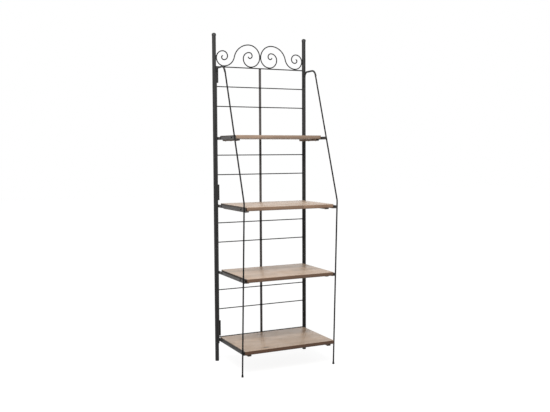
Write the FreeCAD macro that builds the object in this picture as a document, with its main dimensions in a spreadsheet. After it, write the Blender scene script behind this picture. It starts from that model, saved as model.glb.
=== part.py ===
"""Bakers rack: a four-shelf stand of bent steel rod and loose wooden shelves, in millimetres.

The origin is on the floor, midway between the posts and midway from the back of the posts to the front of
the side frames. +Z is up, +X is the right-hand side for someone facing the rack, and the front faces -Y.
The two posts, the rails, the thin rods and the scrolls make the back frame. A side frame of bent rod is
hinged to each post, and each shelf lies in the angle irons of the two side frames.
"""

import FreeCAD, Part
import math
import os

import Sketcher

DOC = FreeCAD.newDocument("bakers_rack")
VECTOR = FreeCAD.Vector

# Driving sizes. The overall width and depth are taken over the posts, inside the slightly wider caps on
# them, and the other depths are measured forwards from the axes of the posts.
SIZES = {
    "overall_width": "570",
    "overall_depth": "400",
    "overall_height": "1803",
    # posts
    "post_diameter": "21",
    "post_wall": "1.5",
    "cap_wall": "1.2",
    "cap_clearance": "0.1",
    "cap_skirt": "7",
    "cap_roof": "3",
    "cap_dome": "6",
    "foot_thickness": "4",
    "plug_length": "16",
    "plug_clearance": "0.1",
    # back frame
    "rail_diameter": "6",
    "top_rail_drop": "180.5",
    "bottom_rail_rise": "0.5",
    "rod_diameter": "5.5",
    "rod_gap": "107",
    "bar_width": "13",
    "bar_thickness": "4",
    # scrolls: the radii of their quarter turns, from the outermost inwards
    "scroll_diameter": "6",
    "scroll_shoulder": "89",
    "large_turn_one": "66",
    "large_turn_two": "54.5",
    "large_turn_three": "44.5",
    "large_turn_four": "35",
    "large_turn_five": "18",
    "large_turn_six": "14",
    "large_turn_seven": "9",
    "small_turn_one": "43",
    "small_turn_two": "38",
    "small_turn_three": "27",
    "small_turn_four": "20.5",
    "small_turn_five": "14",
    "small_turn_six": "7",
    # side frames
    "front_rod_diameter": "8",
    "upright_diameter": "10",
    "upright_depth": "18",
    "upright_bend": "28",
    "upright_drop": "30",
    "side_inset": "8",
    "arm_drop": "191.5",
    "arm_reach": "136.7",
    "arm_bend": "45",
    "arm_stub": "3",
    "knee_rise": "22.5",
    "knee_bend": "30",
    "foot_setback": "38",
    "tip_height": "14",
    "tip_diameter": "13",
    "tip_neck": "10",
    "tip_floor": "3",
    "tip_clearance": "0.05",
    # hinges
    "barrel_diameter": "10",
    "barrel_bore": "5",
    "barrel_clearance": "0.07",
    "barrel_depth": "14.4",
    "hinge_height": "85",
    "barrel_gap": "0.3",
    "web_thickness": "3",
    "pin_clearance": "0.05",
    "pin_head_diameter": "7.5",
    "pin_head_height": "1.6",
    "low_hinge_rise": "11.5",
    "middle_hinge_rise": "19.5",
    "high_hinge_rise": "7.5",
    # angle irons
    "angle_width": "22",
    "angle_wall": "3.2",
    "angle_lip_drop": "6.5",
    # shelves: four even bays below the top rail, and how far each board's top stands off its bay
    "lowest_level": "132.5",
    "board_lift_one": "4.5",
    "board_lift_two": "8.5",
    "board_lift_three": "2.5",
    "board_lift_four": "-2",
    "board_thickness": "19",
    "board_edge_round": "1.5",
    "board_corner": "10",
    "lowest_board_corner": "2.5",
    "board_back": "20.5",
    "board_end_gap": "8.3",
    "lowest_board_end_gap": "0.5",
    "overhang_one": "15",
    "overhang_two": "12",
    "overhang_three": "-4",
    "overhang_four": "-23.5",
    # cleats under the boards
    "cleat_width": "18",
    "cleat_height": "10",
    "cleat_chamfer": "3",
    "cleat_clearance": "0.5",
    "cleat_back_setback": "15",
    "cleat_setback_one": "4",
    "cleat_setback_two": "37",
    "cleat_setback_three": "37",
    "cleat_setback_four": "10",
    "screw_diameter": "4",
    "screw_bite": "12",
    "screw_end_margin": "22",
    "screw_clearance": "0.05",
    "screw_head_diameter": "8",
    "screw_head_height": "2.4",
    # pegs through the angle irons
    "peg_diameter": "6",
    "peg_clearance": "0.05",
    "peg_end_gap": "0.3",
    "peg_head_diameter": "9.5",
    "peg_head_height": "3",
    "peg_drop": "12",
    "peg_back_depth": "66",
    "peg_front_setback": "50",
    "lowest_peg_back_depth": "56",
    "lowest_peg_front_setback": "17",
}

# Places worked out from the driving sizes.
PLACES = {
    "post_x": "(Sizes.overall_width - Sizes.post_diameter) / 2",
    "post_y": "(Sizes.overall_depth - Sizes.post_diameter) / 2",
    "post_top": "Sizes.overall_height - Sizes.cap_dome - Sizes.cap_roof",
    "cap_low_z": "Places.post_top - Sizes.cap_skirt",
    "cap_bore": "Sizes.post_diameter / 2 + Sizes.cap_clearance",
    "rail_end": "Places.post_x - Sizes.post_diameter / 2",
    "top_rail_z": "Sizes.overall_height - Sizes.top_rail_drop",
    "bottom_rail_z": "Sizes.lowest_level + Sizes.bottom_rail_rise",
    "rod_y": "Places.post_y + (Sizes.rail_diameter - Sizes.rod_diameter) / 2",
    "shelf_pitch": "(Places.top_rail_z - Sizes.lowest_level) / 4",
    # scrolls, standing on the top rail, against the post and against each other
    "scroll_radius": "Sizes.scroll_diameter / 2",
    "scroll_low_z": "Places.top_rail_z + Sizes.rail_diameter / 2 + Places.scroll_radius",
    "scroll_post_x": "Places.rail_end - Places.scroll_radius",
    # side frames: every rod is flush with the angle irons on its inner side
    "flush_x": "Places.post_x - Sizes.side_inset",
    "front_rod_x": "Places.flush_x + Sizes.front_rod_diameter / 2",
    "upright_x": "Places.flush_x + Sizes.upright_diameter / 2",
    "upright_y": "Places.post_y - Sizes.upright_depth",
    "upright_low_z": "Sizes.lowest_level - Sizes.upright_drop",
    "arm_z": "Sizes.overall_height - Sizes.arm_drop",
    "arm_y": "Places.post_y - Sizes.arm_reach",
    "knee_y": "(Sizes.front_rod_diameter - Sizes.overall_depth) / 2",
    "knee_z": "Sizes.lowest_level + 2 * Places.shelf_pitch + Sizes.knee_rise",
    "foot_y": "Places.knee_y + Sizes.foot_setback",
    "slope_run": "Places.arm_y - Places.knee_y",
    "slope_rise": "Places.arm_z - Places.knee_z",
    "slope_length": "sqrt(Places.slope_run ^ 2 + Places.slope_rise ^ 2)",
    "arm_tangent": "Sizes.arm_bend * Places.slope_rise / (Places.slope_length + Places.slope_run)",
    "joint_share": "(Places.arm_tangent + Sizes.arm_stub) / Places.slope_length",
    "joint_y": "Places.arm_y - Places.slope_run * Places.joint_share",
    "joint_z": "Places.arm_z - Places.slope_rise * Places.joint_share",
    "lower_lean": "Sizes.foot_setback / Places.knee_z",
    # hinges: the barrels stand beside the side frame's upright
    "barrel_y": "Places.post_y - Sizes.barrel_depth",
    "upright_reach": "(Sizes.barrel_diameter + Sizes.upright_diameter) / 2 + Sizes.barrel_clearance",
    "barrel_x": "Places.upright_x - sqrt(Places.upright_reach ^ 2 - (Places.barrel_y - Places.upright_y) ^ 2)",
    "barrel_inset": "Places.post_x - Places.barrel_x",
    "barrel_length": "(Sizes.hinge_height - 2 * Sizes.barrel_gap) / 3",
    "barrel_step": "Places.barrel_length + Sizes.barrel_gap",
    "low_hinge_z": "Sizes.lowest_level + Sizes.low_hinge_rise",
    "middle_hinge_z": "Sizes.lowest_level + 2 * Places.shelf_pitch + Sizes.middle_hinge_rise",
    "high_hinge_z": "Places.arm_z + Sizes.high_hinge_rise - Sizes.hinge_height",
    # angle irons, cleats and pegs across the rack
    "angle_inner_x": "Places.flush_x - Sizes.angle_wall",
    "angle_toe_x": "Places.flush_x - Sizes.angle_width",
    "cleat_outer_x": "Places.angle_toe_x - Sizes.cleat_clearance",
    "cleat_x": "Places.cleat_outer_x - Sizes.cleat_width / 2",
    "angle_back_y": "Places.upright_y + Sizes.upright_diameter / 2",
    "board_back_y": "Places.post_y - Sizes.board_back",
}

# The shelves from the floor up: the front rod crosses the lower three below its knee, and the top one above.
SHELVES = ("one", "two", "three", "four")
NUMBER_OF = {"one": 1, "two": 2, "three": 3, "four": 4}
QUARTERS = ("one", "two", "three", "four", "five", "six", "seven")


def shelf_places(word):
    """Return the places that belong to one shelf."""
    lowest, highest = word == SHELVES[0], word == SHELVES[-1]
    level = NUMBER_OF[word] - 1
    end_gap = "Sizes.lowest_board_end_gap" if lowest else "Sizes.board_end_gap"
    peg_depth = "Sizes.lowest_peg_back_depth" if lowest else "Sizes.peg_back_depth"
    peg_setback = "Sizes.lowest_peg_front_setback" if lowest else "Sizes.peg_front_setback"
    rod_z = f"(Places.top_{word} - Sizes.board_thickness / 2)"
    if highest:
        rod_y = f"Places.knee_y + Places.slope_run * ({rod_z} - Places.knee_z) / Places.slope_rise"
    else:
        rod_y = f"Places.knee_y + Places.lower_lean * (Places.knee_z - {rod_z})"
    return {
        f"top_{word}": f"Sizes.lowest_level + {level} * Places.shelf_pitch + Sizes.board_lift_{word}",
        f"under_{word}": f"Places.top_{word} - Sizes.board_thickness",
        f"rod_y_{word}": rod_y,
        f"half_width_{word}": f"Places.angle_inner_x - {end_gap}",
        f"front_y_{word}": f"Places.rod_y_{word} - Sizes.overhang_{word}",
        f"angle_front_y_{word}": f"Places.rod_y_{word} - Sizes.front_rod_diameter / 2",
        f"cleat_back_y_{word}": "Places.board_back_y - Sizes.cleat_back_setback",
        f"cleat_front_y_{word}": f"Places.front_y_{word} + Sizes.cleat_setback_{word}",
        f"peg_back_y_{word}": f"Places.post_y - {peg_depth}",
        f"peg_front_y_{word}": f"Places.rod_y_{word} + {peg_setback}",
        f"peg_z_{word}": f"Places.top_{word} - Sizes.peg_drop",
    }


def make_sheet(name, cells):
    """Add a spreadsheet with one named cell a row."""
    sheet = DOC.addObject("Spreadsheet::Sheet", name)
    for row, (alias, text) in enumerate(cells.items(), 1):
        sheet.set(f"A{row}", alias)
        sheet.setAlias(f"B{row}", alias)
        sheet.set(f"B{row}", text)
    return sheet


make_sheet("Sizes", SIZES)
for shelf_word in SHELVES:
    PLACES.update(shelf_places(shelf_word))
PLACE_SHEET = make_sheet("Places", {alias: "=" + text.replace("Places.", "") for alias, text in PLACES.items()})
DOC.recompute()


def number(expression):
    """Return the value of an expression in the sheets' names."""
    value = PLACE_SHEET.evalExpression(expression)
    return float(getattr(value, "Value", value))


def bind(thing, **expressions):
    """Bind properties of an object to expressions."""
    for name, expression in expressions.items():
        thing.setExpression(name, expression)
    return thing


def place(thing, x="0", y="0", z="0", axis=None, angle=0):
    """Turn an object about an axis and bind its base point to expressions."""
    turn = FreeCAD.Rotation(VECTOR(*axis), angle) if axis else FreeCAD.Rotation()
    thing.Placement = FreeCAD.Placement(VECTOR(), turn)
    for letter, expression in (("x", x), ("y", y), ("z", z)):
        thing.setExpression(f".Placement.Base.{letter}", expression)
    return thing


# Rotations that send a primitive's own +Z along the axis in their name.
ALONG_X = {"axis": (0, 1, 0), "angle": 90}
DOWN = {"axis": (1, 0, 0), "angle": 180}


def cylinder(label, radius, height, **where):
    """Add a cylinder."""
    return place(bind(DOC.addObject("Part::Cylinder", label), Radius=radius, Height=height), **where)


def cut(label, base, tool):
    """Add the cut of one object by another."""
    result = DOC.addObject("Part::Cut", label)
    result.Base = base
    result.Tool = tool
    return result


def fuse(label, *shapes):
    """Add the union of several objects."""
    result = DOC.addObject("Part::MultiFuse", label)
    result.Shapes = list(shapes)
    return result


def group(label, members):
    """Add one object that holds several separate solids."""
    result = DOC.addObject("Part::Compound", label)
    result.Links = list(members)
    return result


def mirror(label, source):
    """Add the left-hand copy of a right-hand piece."""
    result = DOC.addObject("Part::Mirroring", label)
    result.Source = source
    result.Normal = VECTOR(1, 0, 0)
    return result


def domed_pin(label, shank_radius, shank_length, head_radius, head_height, **where):
    """Add a pin with a domed head: the dome rises along the pin's own +Z, the shank goes the other way."""
    sphere_radius = f"(({head_radius}) ^ 2 + ({head_height}) ^ 2) / (2 * ({head_height}))"
    dome = bind(DOC.addObject("Part::Sphere", f"{label}_dome"), Radius=sphere_radius,
                Angle1=f"asin(1 - ({head_height}) / ({sphere_radius}))")
    place(dome, z=f"({head_height}) - ({sphere_radius})")
    shank = cylinder(f"{label}_shank", shank_radius, shank_length, z=f"-({shank_length})")
    return place(fuse(label, dome, shank), **where)


def new_body(label):
    """Add a body."""
    return DOC.addObject("PartDesign::Body", label)


def new_sketch(body, name, role, offset="0"):
    """Add a sketch on one of a body's own origin planes, moved along the plane's normal by offset."""
    sketch = body.newObject("Sketcher::SketchObject", name)
    plane = next(feature for feature in body.Origin.OriginFeatures if feature.Role == role)
    sketch.AttachmentSupport = [(plane, "")]
    sketch.MapMode = "FlatFace"
    sketch.setExpression(".AttachmentOffset.Base.z", offset)
    return sketch


ORIGIN = (-1, 1)
START, END, CENTRE = 1, 2, 3


def pin_point(sketch, geometry, position, across, up):
    """Hold a point of a sketch at two expressions, across and up from its origin."""
    for kind, expression in (("DistanceX", across), ("DistanceY", up)):
        index = sketch.addConstraint(
            Sketcher.Constraint(kind, *ORIGIN, geometry, position, number(expression)))
        sketch.setExpression(f"Constraints[{index}]", expression)


def hold_radius(sketch, geometry, expression):
    """Hold the radius of a circle or arc at an expression."""
    index = sketch.addConstraint(Sketcher.Constraint("Radius", geometry, number(expression)))
    sketch.setExpression(f"Constraints[{index}]", expression)


def draw_outline(sketch, corners):
    """Draw a closed outline with straight sides through corners given as pairs of expressions."""
    points = [VECTOR(number(across), number(up)) for across, up in corners]
    for index, point in enumerate(points):
        sketch.addGeometry(Part.LineSegment(point, points[(index + 1) % len(points)]), False)
    for index, (across, up) in enumerate(corners):
        following = (index + 1) % len(corners)
        sketch.addConstraint(Sketcher.Constraint("Coincident", index, END, following, START))
        pin_point(sketch, index, START, across, up)


def draw_circle(sketch, radius, across="0", up="0"):
    """Draw a circle held at two expressions."""
    centre = VECTOR(number(across), number(up))
    index = sketch.addGeometry(Part.Circle(centre, VECTOR(0, 0, 1), number(radius)), False)
    hold_radius(sketch, index, radius)
    if (across, up) == ("0", "0"):
        sketch.addConstraint(Sketcher.Constraint("Coincident", index, CENTRE, *ORIGIN))
    else:
        pin_point(sketch, index, CENTRE, across, up)


def pad(body, sketch, length, both_ways=False):
    """Pad a sketch along its normal."""
    feature = body.newObject("PartDesign::Pad", f"{body.Name}_pad")
    feature.Profile = sketch
    feature.Midplane = both_ways
    return bind(feature, Length=length)


def drill(body, sketch, depth, reverse=False):
    """Sink a sketch's circles into a body."""
    feature = body.newObject("PartDesign::Pocket", f"{body.Name}_holes")
    feature.Profile = sketch
    feature.Reversed = reverse
    return bind(feature, Length=depth)


def sweep_round(body, path, radius):
    """Sweep a round bar along a sketched path."""
    profile = body.newObject("Sketcher::SketchObject", f"{body.Name}_profile")
    profile.AttachmentSupport = [(path, "Edge1")]
    profile.MapMode = "NormalToEdge"
    draw_circle(profile, radius)
    pipe = body.newObject("PartDesign::AdditivePipe", f"{body.Name}_pipe")
    pipe.Profile = profile
    pipe.Spine = (path, [])
    return pipe


def bent_rod(label, radius, offset, corners):
    """Add a round rod bent in a plane of constant X, along corners of (y, z, bend radius or None)."""
    body = new_body(label)
    path = new_sketch(body, f"{label}_path", "YZ_Plane", offset)
    points = [VECTOR(number(across), number(up)) for across, up, _ in corners]
    bends = {}
    for index in range(1, len(corners) - 1):
        before = (points[index - 1] - points[index]).normalize()
        after = (points[index + 1] - points[index]).normalize()
        bend = number(corners[index][2])
        half_angle = before.getAngle(after) / 2
        reach = bend / math.tan(half_angle)
        centre = points[index] + (before + after).normalize() * (bend / math.sin(half_angle))
        bends[index] = (points[index] + before * reach, points[index] + after * reach, centre, bend)

    lines = []
    for index in range(len(corners) - 1):
        begin = bends[index][1] if index in bends else points[index]
        finish = bends[index + 1][0] if index + 1 in bends else points[index + 1]
        lines.append(path.addGeometry(Part.LineSegment(begin, finish), False))
    for index, (enter, leave, centre, bend) in bends.items():
        angles = [math.atan2(point.y - centre.y, point.x - centre.x) for point in (enter, leave)]
        counter_clockwise = (angles[1] - angles[0]) % (2 * math.pi) < math.pi
        first, last = angles if counter_clockwise else reversed(angles)
        circle = Part.Circle(centre, VECTOR(0, 0, 1), bend)
        arc = path.addGeometry(Part.ArcOfCircle(circle, first, last), False)
        enter_end, leave_end = (START, END) if counter_clockwise else (END, START)
        path.addConstraint(Sketcher.Constraint("Tangent", lines[index - 1], END, arc, enter_end))
        path.addConstraint(Sketcher.Constraint("Tangent", arc, leave_end, lines[index], START))
        hold_radius(path, arc, corners[index][2])
        corner = path.addGeometry(Part.Point(points[index]), True)
        pin_point(path, corner, START, *corners[index][:2])
        path.addConstraint(Sketcher.Constraint("PointOnObject", corner, START, lines[index - 1]))
        path.addConstraint(Sketcher.Constraint("PointOnObject", corner, START, lines[index]))
    pin_point(path, lines[0], START, *corners[0][:2])
    pin_point(path, lines[-1], END, *corners[-1][:2])
    sweep_round(body, path, radius)
    return body


def make_post():
    """Add the right post, the domed cap that slips over its top and its foot plug."""
    at_post = {"x": "Places.post_x", "y": "Places.post_y"}
    length = "Places.post_top - Sizes.foot_thickness"
    bore = "Sizes.post_diameter / 2 - Sizes.post_wall"
    outside = cylinder("post_outside", "Sizes.post_diameter / 2", length, z="Sizes.foot_thickness", **at_post)
    inside = cylinder("post_inside", bore, length, z="Sizes.foot_thickness", **at_post)
    post = cut("back_post_right", outside, inside)
    plug = f"{bore} - Sizes.plug_clearance"
    rim = "Places.cap_bore + Sizes.cap_wall"
    cover = domed_pin("post_cap_cover", rim, "Sizes.cap_skirt + Sizes.cap_roof", rim, "Sizes.cap_dome",
                      z="Places.post_top + Sizes.cap_roof", **at_post)
    cap = cut("post_cap_right", cover,
              cylinder("post_cap_socket", "Places.cap_bore", "Sizes.cap_skirt", z="Places.cap_low_z", **at_post))
    pad_disc = cylinder("post_foot_disc", "Sizes.post_diameter / 2", "Sizes.foot_thickness", **at_post)
    pad_plug = cylinder("post_foot_plug", plug, "Sizes.foot_thickness + Sizes.plug_length", **at_post)
    foot = fuse("post_foot_right", pad_disc, pad_plug)
    return [post, cap, foot]


def make_rail(label, height):
    """Add a rail from post to post."""
    return cylinder(label, "Sizes.rail_diameter / 2", "2 * Places.rail_end", x="-Places.rail_end",
                    y="Places.post_y", z=height, **ALONG_X)


def make_back_rods():
    """Add the thin rods, two in the upper part of each bay."""
    rods = []
    for bay in range(1, 5):
        for row in (2, 1):
            height = f"Sizes.lowest_level + {bay} * Places.shelf_pitch - {row} * Sizes.rod_gap"
            rods.append(cylinder(f"back_rod_{len(rods) + 1}", "Sizes.rod_diameter / 2",
                                 "2 * Places.rail_end", x="-Places.rail_end", y="Places.rod_y",
                                 z=height, **ALONG_X))
    return rods


def make_centre_bar():
    """Add the flat bar that ties the rails and rods together from behind."""
    bar = bind(DOC.addObject("Part::Box", "centre_bar"), Length="Sizes.bar_width",
               Width="Sizes.bar_thickness", Height="Places.top_rail_z - Places.bottom_rail_z")
    return place(bar, x="-Sizes.bar_width / 2", y="Places.post_y + Sizes.rail_diameter / 2",
                 z="Places.bottom_rail_z")


def spiral_arcs(touch, radii, first_angle, turn):
    """Return quarter turns that wind inwards from a point, as (centre, radius, angle before, angle after).

    The angles are the direction from each centre to the ends of its turn, and turn is 1 to go round
    counter-clockwise or -1 to go round clockwise.
    """
    arcs = []
    point = touch
    angle = first_angle
    for radius in radii:
        outward = VECTOR(math.cos(angle), math.sin(angle))
        centre = point - outward * radius
        following = angle + turn * math.pi / 2
        arcs.append((centre, radius, angle, following))
        point = centre + VECTOR(math.cos(following), math.sin(following)) * radius
        angle = following
    return arcs


def make_scroll():
    """Add the right scroll: a large spiral by the middle, a shoulder, and a small spiral by the post."""
    body = new_body("scroll_right")
    path = new_sketch(body, "scroll_path", "XZ_Plane", "-Places.post_y")
    large = [f"Sizes.large_turn_{word}" for word in QUARTERS]
    small = [f"Sizes.small_turn_{word}" for word in QUARTERS[:-1]]
    low, touch_x = number("Places.scroll_low_z"), number("Places.scroll_radius")
    middle_z = low + number(large[1])
    top = VECTOR(touch_x + number(large[0]), middle_z + number(large[0]))
    large_arcs = spiral_arcs(top, [number(radius) for radius in large], math.pi / 2, 1)
    foot = VECTOR(number("Places.scroll_post_x") - number(small[0]), low)
    small_arcs = spiral_arcs(foot, [number(radius) for radius in small], -math.pi / 2, 1)

    # The shoulder and the toe are one arc each, tangent to each other, level at their outer ends.
    run, fall = foot.x - top.x, top.y - foot.y
    both_radii = (run ** 2 + fall ** 2) / (2 * fall)
    shoulder = number("Sizes.scroll_shoulder")
    toe = both_radii - shoulder
    shoulder_centre, toe_centre = top - VECTOR(0, shoulder), foot + VECTOR(0, toe)
    lean = math.atan2(toe_centre.y - shoulder_centre.y, run)
    shoulder_arc = (shoulder_centre, shoulder, math.pi / 2, lean)
    toe_arc = (toe_centre, toe, lean + math.pi, 3 * math.pi / 2)
    inward_out = [(centre, radius, after, before) for centre, radius, before, after in reversed(large_arcs)]
    chain = inward_out + [shoulder_arc, toe_arc] + small_arcs

    ends = []
    for centre, radius, before, after in chain:
        forward = before < after
        first, last = (before, after) if forward else (after, before)
        path.addGeometry(Part.ArcOfCircle(Part.Circle(centre, VECTOR(0, 0, 1), radius), first, last), False)
        ends.append((START, END) if forward else (END, START))
    shoulder_index = len(large)
    toe_index = shoulder_index + 1
    for index in range(len(chain) - 1):
        kind = "Tangent" if index == shoulder_index else "Coincident"
        path.addConstraint(Sketcher.Constraint(kind, index, ends[index][1], index + 1, ends[index + 1][0]))
    for index, (_, _, before, after) in enumerate(chain):
        for position, angle in zip(ends[index], (before, after)):
            if (index, position) in ((shoulder_index, ends[index][1]), (toe_index, ends[index][0])):
                continue
            kind = "Vertical" if abs(math.cos(angle)) < 0.5 else "Horizontal"
            path.addConstraint(Sketcher.Constraint(kind, index, CENTRE, index, position))
    for index, radius in enumerate(reversed(large)):
        hold_radius(path, index, radius)
    hold_radius(path, shoulder_index, "Sizes.scroll_shoulder")
    for index, radius in enumerate(small, toe_index + 1):
        hold_radius(path, index, radius)
    outer = len(large) - 1
    pin_point(path, outer, ends[outer][0], "Places.scroll_radius",
              "Places.scroll_low_z + Sizes.large_turn_two")
    pin_point(path, toe_index, ends[toe_index][1], "Places.scroll_post_x - Sizes.small_turn_one",
              "Places.scroll_low_z")
    sweep_round(body, path, "Places.scroll_radius")
    return body


def make_hinge_parts():
    """Add the right post's barrels, the side frame's barrels and the pins of the three hinges."""
    at_barrel = {"x": "Places.barrel_x", "y": "Places.barrel_y"}
    post_barrels, side_barrels, pins = [], [], []
    for level in ("low", "middle", "high"):
        low_z = f"Places.{level}_hinge_z"
        for part, step in (("bottom", 0), ("centre", 1), ("top", 2)):
            name = f"{level}_{part}_barrel"
            at_height = {"z": f"{low_z} + {step} * Places.barrel_step", **at_barrel}
            barrel = cylinder(f"{name}_round", "Sizes.barrel_diameter / 2", "Places.barrel_length", **at_height)
            bore = cylinder(f"{name}_bore", "Sizes.barrel_bore / 2", "Places.barrel_length", **at_height)
            if part == "centre":
                side_barrels.append(cut(name, barrel, bore))
                continue
            web = bind(DOC.addObject("Part::Box", f"{name}_web"), Width="Sizes.web_thickness",
                       Length="sqrt(Places.barrel_inset ^ 2 + Sizes.barrel_depth ^ 2)",
                       Height="Places.barrel_length")
            place(web, y="-Sizes.web_thickness / 2")
            turned = place(group(f"{name}_web_turned", [web]), axis=(0, 0, 1), angle=0, **at_height)
            turned.setExpression(".Placement.Rotation.Angle", "atan(Sizes.barrel_depth / Places.barrel_inset)")
            post = cylinder(f"{name}_post", "Sizes.post_diameter / 2", "Places.barrel_length",
                            x="Places.post_x", y="Places.post_y", z=at_height["z"])
            post_barrels.append(cut(name, fuse(f"{name}_solid", barrel, turned),
                                    fuse(f"{name}_clear", bore, post)))
        pins.append(domed_pin(f"{level}_pin", "Sizes.barrel_bore / 2 - Sizes.pin_clearance",
                              "Sizes.hinge_height", "Sizes.pin_head_diameter / 2", "Sizes.pin_head_height",
                              z=f"{low_z} + Sizes.hinge_height", **at_barrel))
    return [group("hinge_post_barrels_right", post_barrels),
            group("hinge_side_barrels_right", side_barrels),
            group("hinge_pins_right", pins)]


def make_side_frame():
    """Add the right side frame's two rods and the rubber tip at its foot."""
    upright = bent_rod("side_upright_right", "Sizes.upright_diameter / 2", "Places.upright_x", [
        ("Places.upright_y", "Places.upright_low_z", None),
        ("Places.upright_y", "Places.arm_z", "Sizes.upright_bend"),
        ("Places.arm_y", "Places.arm_z", "Sizes.arm_bend"),
        ("Places.joint_y", "Places.joint_z", None),
    ])
    front_rod = bent_rod("front_rod_right", "Sizes.front_rod_diameter / 2", "Places.front_rod_x", [
        ("Places.foot_y - Places.lower_lean * Sizes.tip_floor", "Sizes.tip_floor", None),
        ("Places.knee_y", "Places.knee_z", "Sizes.knee_bend"),
        ("Places.joint_y", "Places.joint_z", None),
    ])
    at_foot = {"x": "Places.front_rod_x", "y": "Places.foot_y"}
    cone = place(bind(DOC.addObject("Part::Cone", "tip_cone"), Radius1="Sizes.tip_diameter / 2",
                      Radius2="Sizes.tip_neck / 2", Height="Sizes.tip_height"), **at_foot)
    socket = cylinder("tip_socket", "Sizes.front_rod_diameter / 2 + Sizes.tip_clearance",
                      "2 * Sizes.tip_height", x="Places.front_rod_x",
                      y="Places.foot_y - Places.lower_lean * Sizes.tip_floor", z="Sizes.tip_floor",
                      axis=(1, 0, 0), angle=1)
    socket.setExpression(".Placement.Rotation.Angle", "atan(Places.lower_lean)")
    return [upright, front_rod, cut("front_foot_right", cone, socket)]


def make_angle_iron(word):
    """Add one right-hand angle iron, with a hole for each of its two pegs."""
    body = new_body(f"angle_iron_right_{NUMBER_OF[word]}")
    low, ledge = f"Places.under_{word} - Sizes.angle_wall", f"Places.under_{word}"
    lip = f"Places.top_{word} - Sizes.angle_lip_drop"
    section = new_sketch(body, f"angle_section_{word}", "XZ_Plane", "-Places.angle_back_y")
    draw_outline(section, [
        ("Places.angle_toe_x", low), ("Places.flush_x", low), ("Places.flush_x", lip),
        ("Places.angle_inner_x", lip), ("Places.angle_inner_x", ledge), ("Places.angle_toe_x", ledge),
    ])
    pad(body, section, f"Places.angle_back_y - Places.angle_front_y_{word}")
    holes = new_sketch(body, f"angle_holes_{word}", "YZ_Plane", "Places.flush_x")
    for end in ("back", "front"):
        draw_circle(holes, "Sizes.peg_diameter / 2 + Sizes.peg_clearance",
                    f"Places.peg_{end}_y_{word}", f"Places.peg_z_{word}")
    drill(body, holes, "Sizes.angle_wall")
    return body


def make_pegs():
    """Add the right-hand pegs: round heads outside the angle irons, shanks that end just off the boards."""
    pegs = []
    for word in SHELVES:
        for end in ("back", "front"):
            pegs.append(domed_pin(
                f"peg_{word}_{end}", "Sizes.peg_diameter / 2",
                f"Places.flush_x - Places.half_width_{word} - Sizes.peg_end_gap",
                "Sizes.peg_head_diameter / 2", "Sizes.peg_head_height",
                x="Places.flush_x", y=f"Places.peg_{end}_y_{word}", z=f"Places.peg_z_{word}", **ALONG_X))
    return group("shelf_pegs_right", pegs)


def screw_places(word):
    """Return where the screws of a shelf stand along its cleats."""
    back, front = f"Places.cleat_back_y_{word}", f"Places.cleat_front_y_{word}"
    return [f"{back} - Sizes.screw_end_margin", f"({back} + {front}) / 2", f"{front} + Sizes.screw_end_margin"]


def round_edges(body, name, base, upright, radius):
    """Round either the upright edges or the level edges of a plate."""
    DOC.recompute()
    edges = [f"Edge{index}" for index, edge in enumerate(base.Shape.Edges, 1)
             if (abs(edge.tangentAt(edge.FirstParameter).z) > 0.5) == upright]
    rounding = body.newObject("PartDesign::Fillet", name)
    rounding.Base = (base, edges)
    return bind(rounding, Radius=radius)


def make_board(word):
    """Add one shelf board, with rounded corners and edges and a pilot hole under it for each screw."""
    body = new_body(f"shelf_board_{NUMBER_OF[word]}")
    half = f"Places.half_width_{word}"
    corner = "Sizes.lowest_board_corner" if word == SHELVES[0] else "Sizes.board_corner"
    section = new_sketch(body, f"board_outline_{word}", "XY_Plane", f"Places.under_{word}")
    draw_outline(section, [
        (f"-{half}", f"Places.front_y_{word}"), (half, f"Places.front_y_{word}"),
        (half, "Places.board_back_y"), (f"-{half}", "Places.board_back_y"),
    ])
    slab = pad(body, section, "Sizes.board_thickness")
    plate = round_edges(body, f"board_corners_{word}", slab, True, corner)
    round_edges(body, f"board_edges_{word}", plate, False, "Sizes.board_edge_round")
    holes = new_sketch(body, f"board_holes_{word}", "XY_Plane", f"Places.under_{word}")
    for side in ("-", ""):
        for depth in screw_places(word):
            draw_circle(holes, "Sizes.screw_diameter / 2 + Sizes.screw_clearance",
                        f"{side}Places.cleat_x", depth)
    drill(body, holes, "Sizes.screw_bite + Sizes.screw_clearance", reverse=True)
    return body


def make_cleat(word, side, sign):
    """Add one cleat, a batten from back to front under a board, with its lower ends chamfered."""
    body = new_body(f"shelf_cleat_{side}_{NUMBER_OF[word]}")
    top, chamfer = f"Places.under_{word}", "Sizes.cleat_chamfer"
    low = f"{top} - Sizes.cleat_height"
    back, front = f"Places.cleat_back_y_{word}", f"Places.cleat_front_y_{word}"
    section = new_sketch(body, f"cleat_section_{side}_{word}", "YZ_Plane", f"{sign}Places.cleat_x")
    draw_outline(section, [
        (f"{front} + {chamfer}", low), (f"{back} - {chamfer}", low), (back, f"{low} + {chamfer}"),
        (back, top), (front, top), (front, f"{low} + {chamfer}"),
    ])
    pad(body, section, "Sizes.cleat_width", both_ways=True)
    holes = new_sketch(body, f"cleat_holes_{side}_{word}", "XY_Plane", low)
    for depth in screw_places(word):
        draw_circle(holes, "Sizes.screw_diameter / 2 + Sizes.screw_clearance", f"{sign}Places.cleat_x", depth)
    drill(body, holes, "Sizes.cleat_height", reverse=True)
    return body


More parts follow.
